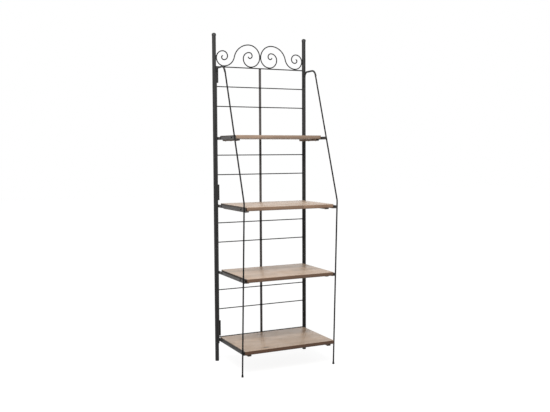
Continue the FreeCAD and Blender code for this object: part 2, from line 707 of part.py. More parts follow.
def make_screws(word):
    """Add the six screws that hold a shelf's cleats."""
    screws = []
    for side in ("-", ""):
        for depth in screw_places(word):
            screws.append(domed_pin(
                f"screw_{word}_{len(screws) + 1}", "Sizes.screw_diameter / 2",
                "Sizes.cleat_height + Sizes.screw_bite", "Sizes.screw_head_diameter / 2",
                "Sizes.screw_head_height", x=f"{side}Places.cleat_x", y=depth,
                z=f"Places.under_{word} - Sizes.cleat_height", **DOWN))
    return group(f"cleat_screws_{NUMBER_OF[word]}", screws)


def make_pieces():
    """Add every sub-part and return them."""
    right_hand = make_post() + make_hinge_parts() + make_side_frame() + [make_scroll(), make_pegs()]
    right_hand += [make_angle_iron(word) for word in SHELVES]
    pieces = right_hand + [mirror(piece.Label.replace("_right", "_left"), piece) for piece in right_hand]
    pieces += [make_rail("top_rail", "Places.top_rail_z"), make_rail("bottom_rail", "Places.bottom_rail_z")]
    pieces += make_back_rods() + [make_centre_bar()]
    for word in SHELVES:
        pieces += [make_board(word), make_screws(word)]
        pieces += [make_cleat(word, side, sign) for side, sign in (("left", "-"), ("right", ""))]
    return pieces


def check_and_export(pieces):
    """Stop on any failed object or bad shape, then write each sub-part to its own file."""
    DOC.recompute()
    failed = [thing.Name for thing in DOC.Objects if {"Invalid", "Error"} & set(thing.State)]
    if failed:
        raise RuntimeError(f"failed objects: {failed}")
    for piece in pieces:
        if piece.Shape.isNull() or not piece.Shape.isValid() or not piece.Shape.Solids:
            raise RuntimeError(f"bad shape: {piece.Label}")
    os.makedirs("parts", exist_ok=True)
    for piece in pieces:
        piece.Shape.exportStep(f"parts/{piece.Label}.step")


check_and_export(make_pieces())
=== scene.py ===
"""Bakers rack: the looks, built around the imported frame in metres.

A flat back frame of two posts, rails, thin rods and two scrolls carries a hinged side frame at each end, and
four loose wooden shelves lie in the side frames' angle irons. Each sub-assembly is a class below. It dresses
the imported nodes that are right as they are, and models the pieces that want more detail.
"""

import logging
import math
from contextlib import contextmanager
from dataclasses import dataclass, field
from enum import Enum
from typing import Callable, Iterator, Sequence

import bmesh
import bpy
from mathutils import Matrix, Vector


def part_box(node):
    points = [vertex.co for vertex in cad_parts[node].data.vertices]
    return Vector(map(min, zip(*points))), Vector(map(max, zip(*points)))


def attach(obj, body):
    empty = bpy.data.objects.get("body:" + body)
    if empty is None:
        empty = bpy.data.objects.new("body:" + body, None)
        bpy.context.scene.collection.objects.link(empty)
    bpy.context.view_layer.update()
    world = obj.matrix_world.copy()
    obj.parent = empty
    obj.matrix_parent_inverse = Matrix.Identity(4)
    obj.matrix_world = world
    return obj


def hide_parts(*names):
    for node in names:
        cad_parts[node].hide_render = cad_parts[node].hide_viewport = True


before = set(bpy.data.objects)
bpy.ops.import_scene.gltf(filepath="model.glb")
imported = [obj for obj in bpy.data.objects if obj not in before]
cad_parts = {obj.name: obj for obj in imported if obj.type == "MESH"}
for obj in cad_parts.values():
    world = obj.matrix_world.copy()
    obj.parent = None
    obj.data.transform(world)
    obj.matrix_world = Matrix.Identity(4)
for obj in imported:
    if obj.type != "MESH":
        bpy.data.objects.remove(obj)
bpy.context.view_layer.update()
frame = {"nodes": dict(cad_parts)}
LOG = logging.getLogger("bakers_rack")
MM = 0.001
NEAR = 0.1 * MM  # under this, two heights or places count as the same
UP = Vector((0, 0, 1))
ACROSS = Vector((1, 0, 0))
NOWHERE = (0.0, 0.0, 0.0)
MOTTLED = (0.35, 0.65)  # the part of a soft noise over which one colour gives way to another
CLOUDED = (0.3, 0.7)  # the wider part over which roughness and the floor's tone drift

Piece = bpy.types.Object
Material = bpy.types.Material
Node = bpy.types.Node
Socket = bpy.types.NodeSocket
Sockets = bpy.types.bpy_prop_collection
Span = tuple[float, float]
Triple = tuple[float, float, float]
Colour = Triple
Profile = Sequence[Span]


class Side(Enum):
    """The two ends of the rack, with the sign of their place across it."""

    LEFT = -1
    RIGHT = 1

    @property
    def word(self) -> str:
        """Return the side's name as node names have it."""
        return self.name.lower()


class Part(Enum):
    """What can be selected in a mesh in edit mode."""

    VERTICES = "VERT"
    EDGES = "EDGE"
    FACES = "FACE"


class Mixing(Enum):
    """How two colours are mixed."""

    MIX = "MIX"
    MULTIPLY = "MULTIPLY"


class Slot(Enum):
    """The record's material slots."""

    FRAME = "frame_steel"
    PEG = "peg_steel"
    PIN = "pin_steel"
    SCREW = "screw_steel"
    PLUG = "plug_plastic"
    TIP = "tip_rubber"
    BOARD = "board_wood"
    CLEAT = "cleat_wood"


# ---------------------------------------------------------------------------------------------------------
# Bench work: the moves that shape a piece
# ---------------------------------------------------------------------------------------------------------


def clear_bench() -> None:
    """Leave nothing selected, in object mode."""
    held = bpy.context.view_layer.objects.active
    if held is not None and held.mode != "OBJECT":
        bpy.ops.object.mode_set(mode="OBJECT")
    bpy.ops.object.select_all(action="DESELECT")


def take(piece: Piece) -> None:
    """Select one piece alone and make it active.

    Args:
        piece: the piece.
    """
    clear_bench()
    piece.select_set(True)
    bpy.context.view_layer.objects.active = piece


@contextmanager
def shaping(piece: Piece, part: Part = Part.EDGES) -> Iterator[None]:
    """Hold a piece in edit mode with nothing selected.

    Args:
        piece: the piece to shape.
        part: what is selected in it.
    """
    take(piece)
    bpy.ops.object.mode_set(mode="EDIT")
    bpy.ops.mesh.select_mode(type=part.value)
    bpy.ops.mesh.select_all(action="DESELECT")
    yield
    bpy.ops.object.mode_set(mode="OBJECT")


def pick_edges(piece: Piece, wanted: Callable[[Vector, Vector], bool]) -> None:
    """Select the edges of a piece in edit mode.

    Args:
        piece: the piece in edit mode.
        wanted: told an edge's two ends, says whether it is wanted.
    """
    mesh = bmesh.from_edit_mesh(piece.data)
    for edge in mesh.edges:
        edge.select_set(wanted(edge.verts[0].co, edge.verts[1].co))
    bmesh.update_edit_mesh(piece.data)


def block(name: str, low: Vector, high: Vector) -> Piece:
    """Add a squared block between two corners.

    Args:
        name: the piece's name.
        low: its lowest corner.
        high: its highest corner.

    Returns:
        The block, with its place in its mesh.
    """
    clear_bench()
    bpy.ops.mesh.primitive_cube_add(size=1, location=(low + high) / 2, scale=high - low)
    bpy.ops.object.transform_apply(location=True, rotation=True, scale=True)
    bpy.context.object.name = name
    return bpy.context.object


def turned(name: str, base: Vector, profile: Profile, sides: int) -> Piece:
    """Turn a closed round piece that stands along +Z, by extruding a disc from step to step.

    Args:
        name: the piece's name.
        base: the point on its axis that heights are measured from.
        profile: its radius and height at each step, from the bottom up.
        sides: how many sides it has around.

    Returns:
        The turned piece, with its place in its mesh.
    """
    radius, height = profile[0]
    clear_bench()
    bpy.ops.mesh.primitive_circle_add(
        vertices=sides, radius=radius, fill_type="NGON", location=base + UP * height)
    bpy.ops.object.transform_apply(location=True, rotation=True, scale=True)
    piece = bpy.context.object
    piece.name = name
    with shaping(piece, Part.FACES):
        bpy.ops.mesh.select_all(action="SELECT")
        for next_radius, next_height in profile[1:]:
            bpy.ops.mesh.extrude_region_move(
                TRANSFORM_OT_translate={"value": UP * (next_height - height)})
            share = next_radius / radius
            bpy.ops.transform.resize(
                value=(share, share, 1), center_override=base + UP * next_height)
            radius, height = next_radius, next_height
        bpy.ops.mesh.select_all(action="SELECT")
        bpy.ops.mesh.normals_make_consistent(inside=False)
    return piece


def dome(radius: float, rise: float, base: float, steps: int, flat: float) -> list[Span]:
    """Return the profile of a rounded head.

    Args:
        radius: its radius at the rim.
        rise: how far it rises above the rim.
        base: the height of the rim.
        steps: how many steps the rounding has.
        flat: the radius of the small flat at its top.

    Returns:
        Radius and height at each step, from the rim up.
    """
    ball = (radius ** 2 + rise ** 2) / (2 * rise)
    widest = math.asin(min(1.0, radius / ball))
    angles = [widest * (1 - step / steps) for step in range(1, steps)]
    rounding = [(ball * math.sin(angle), base + rise - ball * (1 - math.cos(angle))) for angle in angles]
    return [*rounding, (flat, base + rise)]


def copied(pattern: Piece, move: Matrix) -> Piece:
    """Copy a piece.

    Args:
        pattern: the piece.
        move: where its mesh goes.

    Returns:
        The copy, with its own mesh.
    """
    copy = pattern.copy()
    copy.data = pattern.data.copy()
    copy.data.transform(move)
    bpy.context.scene.collection.objects.link(copy)
    return copy


def joined(name: str, pieces: Sequence[Piece]) -> Piece:
    """Join pieces into one.

    Args:
        name: the joined piece's name.
        pieces: the pieces.

    Returns:
        The joined piece.
    """
    clear_bench()
    for piece in pieces:
        piece.select_set(True)
    bpy.context.view_layer.objects.active = pieces[0]
    if len(pieces) > 1:
        bpy.ops.object.join()
    pieces[0].name = name
    return pieces[0]


def scrap(piece: Piece) -> None:
    """Remove a pattern or a cutter that has been used."""
    bpy.data.objects.remove(piece, do_unlink=True)


def aim(direction: Vector, place: Vector) -> Matrix:
    """Return the move that stands a pattern's +Z along a direction at a place."""
    return Matrix.Translation(place) @ direction.to_track_quat("Z", "Y").to_matrix().to_4x4()


def smooth(piece: Piece, crease: float) -> Piece:
    """Shade a piece smooth, except at its creases.

    Args:
        piece: the piece.
        crease: the angle in degrees from which two faces meet in a crease.

    Returns:
        The same piece.
    """
    take(piece)
    bpy.ops.object.shade_smooth_by_angle(angle=math.radians(crease))
    return piece


def fit(piece: Piece, body: str, slot: Slot, finish: Material, *nodes: str) -> Piece:
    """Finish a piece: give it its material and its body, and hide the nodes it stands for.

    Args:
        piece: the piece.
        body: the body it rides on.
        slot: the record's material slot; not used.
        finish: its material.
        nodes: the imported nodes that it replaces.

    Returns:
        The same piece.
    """
    piece.data.materials.clear()
    piece.data.materials.append(finish)
    piece.data.name = piece.name
    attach(piece, body)
    if nodes:
        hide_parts(*nodes)
    return piece


def dress(finish: Material, *nodes: str) -> list[Piece]:
    """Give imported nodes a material.

    Args:
        finish: the material.
        nodes: the nodes' names.

    Returns:
        The nodes.
    """
    pieces = [frame["nodes"][node] for node in nodes]
    for piece in pieces:
        for place in piece.material_slots:
            place.material = finish
    return pieces


def middle_of(node: str) -> Vector:
    """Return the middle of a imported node's box."""
    low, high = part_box(node)
    return (low + high) / 2


# ---------------------------------------------------------------------------------------------------------
# Shader nodes
# ---------------------------------------------------------------------------------------------------------


class Graph:
    """A node tree, with short calls that add nodes to it and join them."""

    def __init__(self, tree: bpy.types.NodeTree) -> None:
        """Work on a tree."""
        self.tree = tree

    def put(self, socket: Socket, value: object) -> None:
        """Join a socket to another, or give it a value.

        Args:
            socket: the input that is set.
            value: another node's output, a number, a triple or a colour.
        """
        if isinstance(value, bpy.types.NodeSocket):
            self.tree.links.new(value, socket)
        elif isinstance(value, tuple) and len(value) == 3 and socket.type == "RGBA":
            socket.default_value = (*value, 1)
        else:
            socket.default_value = value

    def add(self, kind: str, settings: dict[str, object] | None = None, **inputs: object) -> Node:
        """Add a node.

        Args:
            kind: its type, without the ShaderNode in front.
            settings: its own properties.
            inputs: values for its inputs, with spaces as underscores.

        Returns:
            The node.
        """
        node = self.tree.nodes.new(f"ShaderNode{kind}")
        for name, value in (settings or {}).items():
            setattr(node, name, value)
        for name, value in inputs.items():
            self.put(node.inputs[name.replace("_", " ")], value)
        return node

    def maths(self, operation: str, first: object, second: object = 0.0, clamp: bool = False) -> Socket:
        """Work out a sum.

        Args:
            operation: what is done, as Blender names it.
            first: the first number.
            second: the second number, where there is one.
            clamp: whether the result is kept between 0 and 1.

        Returns:
            The result.
        """
        node = self.add("Math", {"operation": operation, "use_clamp": clamp})
        self.put(node.inputs[0], first)
        self.put(node.inputs[1], second)
        return node.outputs[0]

    def scaled(self, value: Socket, share: object) -> Socket:
        """Return a number times another."""
        return self.maths("MULTIPLY", value, share)

    def vector(self, operation: str, first: object, second: object = NOWHERE) -> Node:
        """Work out a sum on triples.

        Args:
            operation: what is done, as Blender names it.
            first: the first triple.
            second: the second triple, where there is one.

        Returns:
            The vector maths node.
        """
        node = self.add("VectorMath", {"operation": operation})
        self.put(node.inputs[0], first)
        self.put(node.inputs[1], second)
        return node

    def spread(self, value: Socket, start: float, end: float, low: float = 0.0, high: float = 1.0) -> Socket:
        """Return a value eased from one range to another."""
        return self.add("MapRange", {"interpolation_type": "SMOOTHSTEP"}, Value=value, From_Min=start,
                        From_Max=end, To_Min=low, To_Max=high).outputs[0]

    def blend(self, share: object, first: object, second: object, how: Mixing = Mixing.MIX) -> Socket:
        """Mix two colours.

        Args:
            share: how much of the second goes in.
            first: the first colour.
            second: the second colour.
            how: the way they are mixed.

        Returns:
            The mixed colour.
        """
        node = self.add("Mix", {"data_type": "RGBA", "blend_type": how.value, "clamp_factor": True})
        self.put(node.inputs["Factor"], share)
        self.put(node.inputs[6], first)
        self.put(node.inputs[7], second)
        return node.outputs[2]

    def product(self, colour: Socket, tint: object) -> Socket:
        """Return a colour times a tint."""
        return self.blend(1.0, colour, tint, Mixing.MULTIPLY)

    def grey(self, tone: Socket) -> Socket:
        """Return the grey colour of a tone."""
        return self.add("CombineColor", Red=tone, Green=tone, Blue=tone).outputs[0]

    def noise(self, place: Socket, scale: float, detail: float = 2.0, rough: float = 0.5) -> Socket:
        """Return a soft noise around a half."""
        return self.add("TexNoise", Vector=place, Scale=scale, Detail=detail, Roughness=rough).outputs["Fac"]

    def stretched(self, place: Socket, scale: Triple, shift: Triple = NOWHERE) -> Socket:
        """Return a place scaled along each axis and shifted."""
        return self.add("Mapping", Vector=place, Location=shift, Scale=scale).outputs[0]

    def parts(self, value: Socket) -> Sockets:
        """Return a triple's X, Y and Z."""
        return self.add("SeparateXYZ", Vector=value).outputs

    def facing(self) -> Sockets:
        """Return the X, Y and Z of the way the surface faces."""
        return self.parts(self.add("NewGeometry").outputs["Normal"])

    def bump(self, height: Socket, strength: float, distance: float) -> Socket:
        """Return a normal bumped by a height."""
        return self.add("Bump", Height=height, Strength=strength, Distance=distance).outputs["Normal"]


class Effect:
    """A node group that several materials share, built once. It takes the place on the piece as Vector."""

    def __init__(self, name: str, takes: dict[str, float | Colour], gives: dict[str, str]) -> None:
        """Start a group with named sockets.

        Args:
            name: the group's name.
            takes: its inputs beside Vector, with their first values.
            gives: its outputs and their kinds, Float or Color.
        """
        self.tree = bpy.data.node_groups.new(name, "ShaderNodeTree")
        self.open_socket("Vector", "INPUT", "Vector")
        for socket, value in takes.items():
            if isinstance(value, tuple):
                self.open_socket(socket, "INPUT", "Color").default_value = (*value, 1)
            else:
                self.open_socket(socket, "INPUT", "Float").default_value = value
        for socket, kind in gives.items():
            self.open_socket(socket, "OUTPUT", kind)
        self.graph = Graph(self.tree)
        self.inputs = self.tree.nodes.new("NodeGroupInput").outputs
        self.outputs = self.tree.nodes.new("NodeGroupOutput").inputs

    def open_socket(self, name: str, way: str, kind: str) -> bpy.types.NodeTreeInterfaceSocket:
        """Add a named socket to the group and return it."""
        return self.tree.interface.new_socket(name=name, in_out=way, socket_type=f"NodeSocket{kind}")

    def use(self, graph: Graph, **inputs: object) -> Sockets:
        """Place the group in a tree.

        Args:
            graph: the tree.
            inputs: values for the group's inputs, with spaces as underscores.

        Returns:
            Its outputs there.
        """
        node = graph.tree.nodes.new("ShaderNodeGroup")
        node.node_tree = self.tree
        for name, value in inputs.items():
            graph.put(node.inputs[name.replace("_", " ")], value)
        return node.outputs


def edge_wear() -> Effect:
    """Build the effect that finds rubbed edges.

    Returns:
        A group with Mask, 1 where a corner is rubbed and 0 on the flat.
    """
    effect = Effect("edge_wear", {"Reach": 0.001, "Amount": 0.5}, {"Mask": "Float"})
    graph = effect.graph
    rounded = graph.add("Bevel", {"samples": 4}, Radius=effect.inputs["Reach"])
    flat = graph.add("NewGeometry")
    likeness = graph.vector("DOT_PRODUCT", rounded.outputs["Normal"], flat.outputs["Normal"]).outputs["Value"]
    corner = graph.spread(likeness, start=0.995, end=0.86)
    patches = graph.noise(effect.inputs["Vector"], scale=55.0, detail=4.0, rough=0.65)
    surplus = graph.maths("SUBTRACT", effect.inputs["Amount"], 0.5)
    rubbed = graph.spread(graph.maths("ADD", patches, surplus), start=0.42, end=0.62)
    graph.put(effect.outputs["Mask"], graph.scaled(corner, rubbed))
    return effect


def settled_dust() -> Effect:
    """Build the effect that finds where dust lies.

    Returns:
        A group with Mask, up to Amount on faces that look up.
    """
    effect = Effect("settled_dust", {"Amount": 0.3}, {"Mask": "Float"})
    graph = effect.graph
    lying = graph.spread(graph.facing()["Z"], start=0.2, end=0.95)
    clouds = graph.noise(effect.inputs["Vector"], scale=32.0, detail=5.0, rough=0.6)
    drifted = graph.scaled(lying, graph.spread(clouds, start=0.3, end=0.75))
    graph.put(effect.outputs["Mask"], graph.scaled(drifted, effect.inputs["Amount"]))
    return effect


def pebbled_skin(peel_scale: float = 0.35, pebble_height: float = 0.6) -> Effect:
    """Build the effect of a finely pebbled skin, as on powder coat, moulded plastic and rubber.

    Args:
        peel_scale: the scale of the orange peel under the pebbles, as a share of theirs.
        pebble_height: the height of the pebbles, as a share of the peel's.

    Returns:
        A group with Height for bump and Tone, a soft mottle around a half.
    """
    effect = Effect("pebbled_skin", {"Scale": 900.0}, {"Height": "Float", "Tone": "Float"})
    graph, place = effect.graph, effect.inputs["Vector"]
    pebbles = graph.add("TexVoronoi", {"feature": "SMOOTH_F1"}, Vector=place, Scale=effect.inputs["Scale"],
                        Smoothness=0.6)
    coarse = graph.scaled(effect.inputs["Scale"], peel_scale)
    peel = graph.add("TexNoise", Vector=place, Scale=coarse, Detail=2.0).outputs["Fac"]
    raised = graph.scaled(pebbles.outputs["Distance"], pebble_height)
    graph.put(effect.outputs["Height"], graph.maths("ADD", raised, peel))
    graph.put(effect.outputs["Tone"], graph.noise(place, scale=14.0, detail=4.0, rough=0.6))
    return effect


@dataclass(frozen=True)
class Grain:
    """How the parts of a sawn figure are drawn out along X and across it, and how strong each one is."""

    drift: Triple = (2.2, 14.0, 14.0)
    wander: Triple = (0.0, 0.05, 0.09)
    taper: Triple = (0.05, 1.0, 1.0)
    fibres: Triple = (16.0, 900.0, 900.0)
    streaks: Triple = (3.0, 120.0, 120.0)
    pores: Triple = (60.0, 2400.0, 2400.0)
    ring_rise: Span = (0.15, 0.85)
    ring_fall: Span = (1.0, 0.88)
    ring_depth: float = 0.5
    fibre_depth: float = 0.35
    streak_depth: float = 0.5
    pore_depth: float = 0.25
    ring_relief: float = 0.35
    pore_relief: float = 0.6

    def rings(self, effect: Effect) -> Socket:
        """Draw the yearly rings round a pith that lies along X.

        Args:
            effect: the group, with Vector and Ring Spacing.

        Returns:
            0 in a ring's pale early wood and 1 in its dark late wood.
        """
        graph, place = effect.graph, effect.inputs["Vector"]
        drift = graph.add("TexNoise", Vector=graph.stretched(place, self.drift), Scale=1.0, Detail=3.0)
        centred = graph.vector("SUBTRACT", drift.outputs["Color"], (0.5, 0.5, 0.5)).outputs[0]
        wander = graph.vector("MULTIPLY", centred, self.wander).outputs[0]
        wavy = graph.vector("ADD", place, wander).outputs[0]
        across = graph.vector("MULTIPLY", wavy, self.taper).outputs[0]
        distance = graph.vector("LENGTH", across).outputs["Value"]
        saw = graph.maths("FRACT", graph.maths("DIVIDE", distance, effect.inputs["Ring Spacing"]))
        return graph.scaled(graph.spread(saw, *self.ring_rise), graph.spread(saw, *self.ring_fall))


def wood_figure(grain: Grain = Grain()) -> Effect:
    """Build the effect of sawn wood with its grain along the vector's X.

    Args:
        grain: the proportions of its figure.

    Returns:
        A group with Colour, Height for bump, and Pores, 1 in open pores.
    """
    effect = Effect(
        "wood_figure",
        {"Ring Spacing": 0.006, "Light": (0.5, 0.4, 0.3), "Dark": (0.3, 0.2, 0.13), "Contrast": 0.6},
        {"Colour": "Color", "Height": "Float", "Pores": "Float"})
    graph, place = effect.graph, effect.inputs["Vector"]
    rings = grain.rings(effect)
    fibres = graph.noise(graph.stretched(place, grain.fibres), scale=1.0, detail=3.0, rough=0.6)
    streaks = graph.noise(graph.stretched(place, grain.streaks), scale=1.0, detail=4.0, rough=0.6)
    specks = graph.noise(graph.stretched(place, grain.pores), scale=1.0, detail=1.0)
    pores = graph.spread(specks, start=0.66, end=0.74)
    dark = graph.maths("ADD", graph.scaled(rings, grain.ring_depth), graph.scaled(fibres, grain.fibre_depth))
    streaked = graph.scaled(graph.spread(streaks, start=0.35, end=0.75), grain.streak_depth)
    dark = graph.maths("ADD", dark, streaked)
    dark = graph.maths("ADD", dark, graph.scaled(pores, grain.pore_depth))
    share = graph.maths("MULTIPLY", dark, effect.inputs["Contrast"], clamp=True)
    graph.put(effect.outputs["Colour"], graph.blend(share, effect.inputs["Light"], effect.inputs["Dark"]))
    raised = graph.maths("ADD", graph.scaled(rings, grain.ring_relief), fibres)
    sunk = graph.scaled(pores, grain.pore_relief)
    graph.put(effect.outputs["Height"], graph.maths("SUBTRACT", raised, sunk))
    graph.put(effect.outputs["Pores"], pores)
    return effect


@dataclass(frozen=True)
class Effects:
    """The shared effects, built once."""

    edges: Effect = field(default_factory=edge_wear)
    dust: Effect = field(default_factory=settled_dust)
    skin: Effect = field(default_factory=pebbled_skin)
    wood: Effect = field(default_factory=wood_figure)


def new_finish(name: str, settings: dict[str, object]) -> tuple[Material, Graph, Sockets, Socket]:
    """Start a material.

    Args:
        name: the finish's name.
        settings: what is the same all over, set on the shader's own sockets.

    Returns:
        The material, its graph, its shader's inputs and the place on the piece.
    """
    material = bpy.data.materials.new(name)
    material.use_nodes = True
    graph = Graph(material.node_tree)
    shader = material.node_tree.nodes["Principled BSDF"].inputs
    for socket, value in settings.items():
        graph.put(shader[socket], value)
    return material, graph, shader, graph.add("TexCoord").outputs["Object"]


def worn_wood(graph: Graph, rub: Socket, end: Socket, strength: float = 0.5, end_loss: float = 0.4) -> Socket:
    """Return a rubbed mask at its strength on wood, which loses some on end grain."""
    return graph.scaled(rub, graph.maths("SUBTRACT", strength, graph.scaled(end, end_loss)))


@dataclass(frozen=True)
class CoatedSteel:
    """Steel under a matt coat: mottled, pebbled, a little dusty, and rubbed at its corners if it has any."""

    name: str
    coat: Colour
    mottle: Colour
    bared: Colour = (0.16, 0.155, 0.15)
    dust: Colour = (0.26, 0.25, 0.235)
    roughness: Span = (0.46, 0.62)
    dust_roughness: float = 0.4
    specular: float = 0.35
    wear: float = 0.0
    wear_reach: float = 1.1 * MM
    dustiness: float = 0.22
    pebbles: float = 1100.0
    pebble_strength: float = 0.35
    pebble_height: float = 0.06 * MM

    def material(self, effects: Effects) -> Material:
        """Build the material.

        Args:
            effects: the shared effects.

        Returns:
            The material.
        """
        material, graph, shader, place = new_finish(
            self.name, {"Metallic": 0.0, "Specular IOR Level": self.specular})
        skin = effects.skin.use(graph, Vector=place, Scale=self.pebbles)
        dusty = effects.dust.use(graph, Vector=place, Amount=self.dustiness)["Mask"]
        colour = graph.blend(graph.spread(skin["Tone"], *MOTTLED), self.coat, self.mottle)
        if self.wear:
            worn = effects.edges.use(graph, Vector=place, Reach=self.wear_reach, Amount=self.wear)["Mask"]
            colour = graph.blend(worn, colour, self.bared)
        graph.put(shader["Base Color"], graph.blend(dusty, colour, self.dust))
        rough = graph.spread(skin["Tone"], *CLOUDED, *self.roughness)
        matt = graph.scaled(dusty, self.dust_roughness)
        graph.put(shader["Roughness"], graph.maths("ADD", rough, matt, clamp=True))
        graph.put(shader["Normal"], graph.bump(skin["Height"], self.pebble_strength, self.pebble_height))
        return material


@dataclass(frozen=True)
class PlatedSteel:
    """Dull zinc plate: bare metal, clouded."""

    name: str
    plate: Colour
    cloud: Colour
    roughness: Span = (0.32, 0.55)
    cloud_scale: float = 420.0
    pebbles: float = 2500.0
    pebble_strength: float = 0.2
    pebble_height: float = 0.03 * MM

    def material(self, effects: Effects) -> Material:
        """Build the material.

        Args:
            effects: the shared effects.

        Returns:
            The material.
        """
        material, graph, shader, place = new_finish(self.name, {"Metallic": 1.0})
        skin = effects.skin.use(graph, Vector=place, Scale=self.pebbles)
        clouds = graph.noise(place, scale=self.cloud_scale, detail=4.0, rough=0.65)
        clouds = graph.spread(clouds, start=0.35, end=0.7)
        graph.put(shader["Base Color"], graph.blend(clouds, self.plate, self.cloud))
        graph.put(shader["Roughness"], graph.spread(clouds, 0.0, 1.0, *self.roughness))
        graph.put(shader["Normal"], graph.bump(skin["Height"], self.pebble_strength, self.pebble_height))
        return material


@dataclass(frozen=True)
class SoftMoulding:
    """Moulded plastic or rubber: finely pebbled, scuffed pale at its corners and dusty."""

    name: str
    colour: Colour
    scuffed: Colour
    roughness: Span
    specular: float
    dustiness: float
    scuff_reach: float = 1.2 * MM
    scuff_amount: float = 0.6
    scuff_depth: float = 0.6
    pebbles: float = 1600.0
    pebble_strength: float = 0.4
    pebble_height: float = 0.08 * MM

    def material(self, effects: Effects) -> Material:
        """Build the material.

        Args:
            effects: the shared effects.

        Returns:
            The material.
        """
        material, graph, shader, place = new_finish(
            self.name, {"Metallic": 0.0, "Specular IOR Level": self.specular})
        skin = effects.skin.use(graph, Vector=place, Scale=self.pebbles)
        worn = effects.edges.use(
            graph, Vector=place, Reach=self.scuff_reach, Amount=self.scuff_amount)["Mask"]
        dusty = effects.dust.use(graph, Vector=place, Amount=self.dustiness)["Mask"]
        pale = graph.maths("MAXIMUM", graph.scaled(worn, self.scuff_depth), dusty)
        graph.put(shader["Base Color"], graph.blend(pale, self.colour, self.scuffed))
        graph.put(shader["Roughness"], graph.spread(skin["Tone"], *CLOUDED, *self.roughness))
        graph.put(shader["Normal"], graph.bump(skin["Height"], self.pebble_strength, self.pebble_height))
        return material


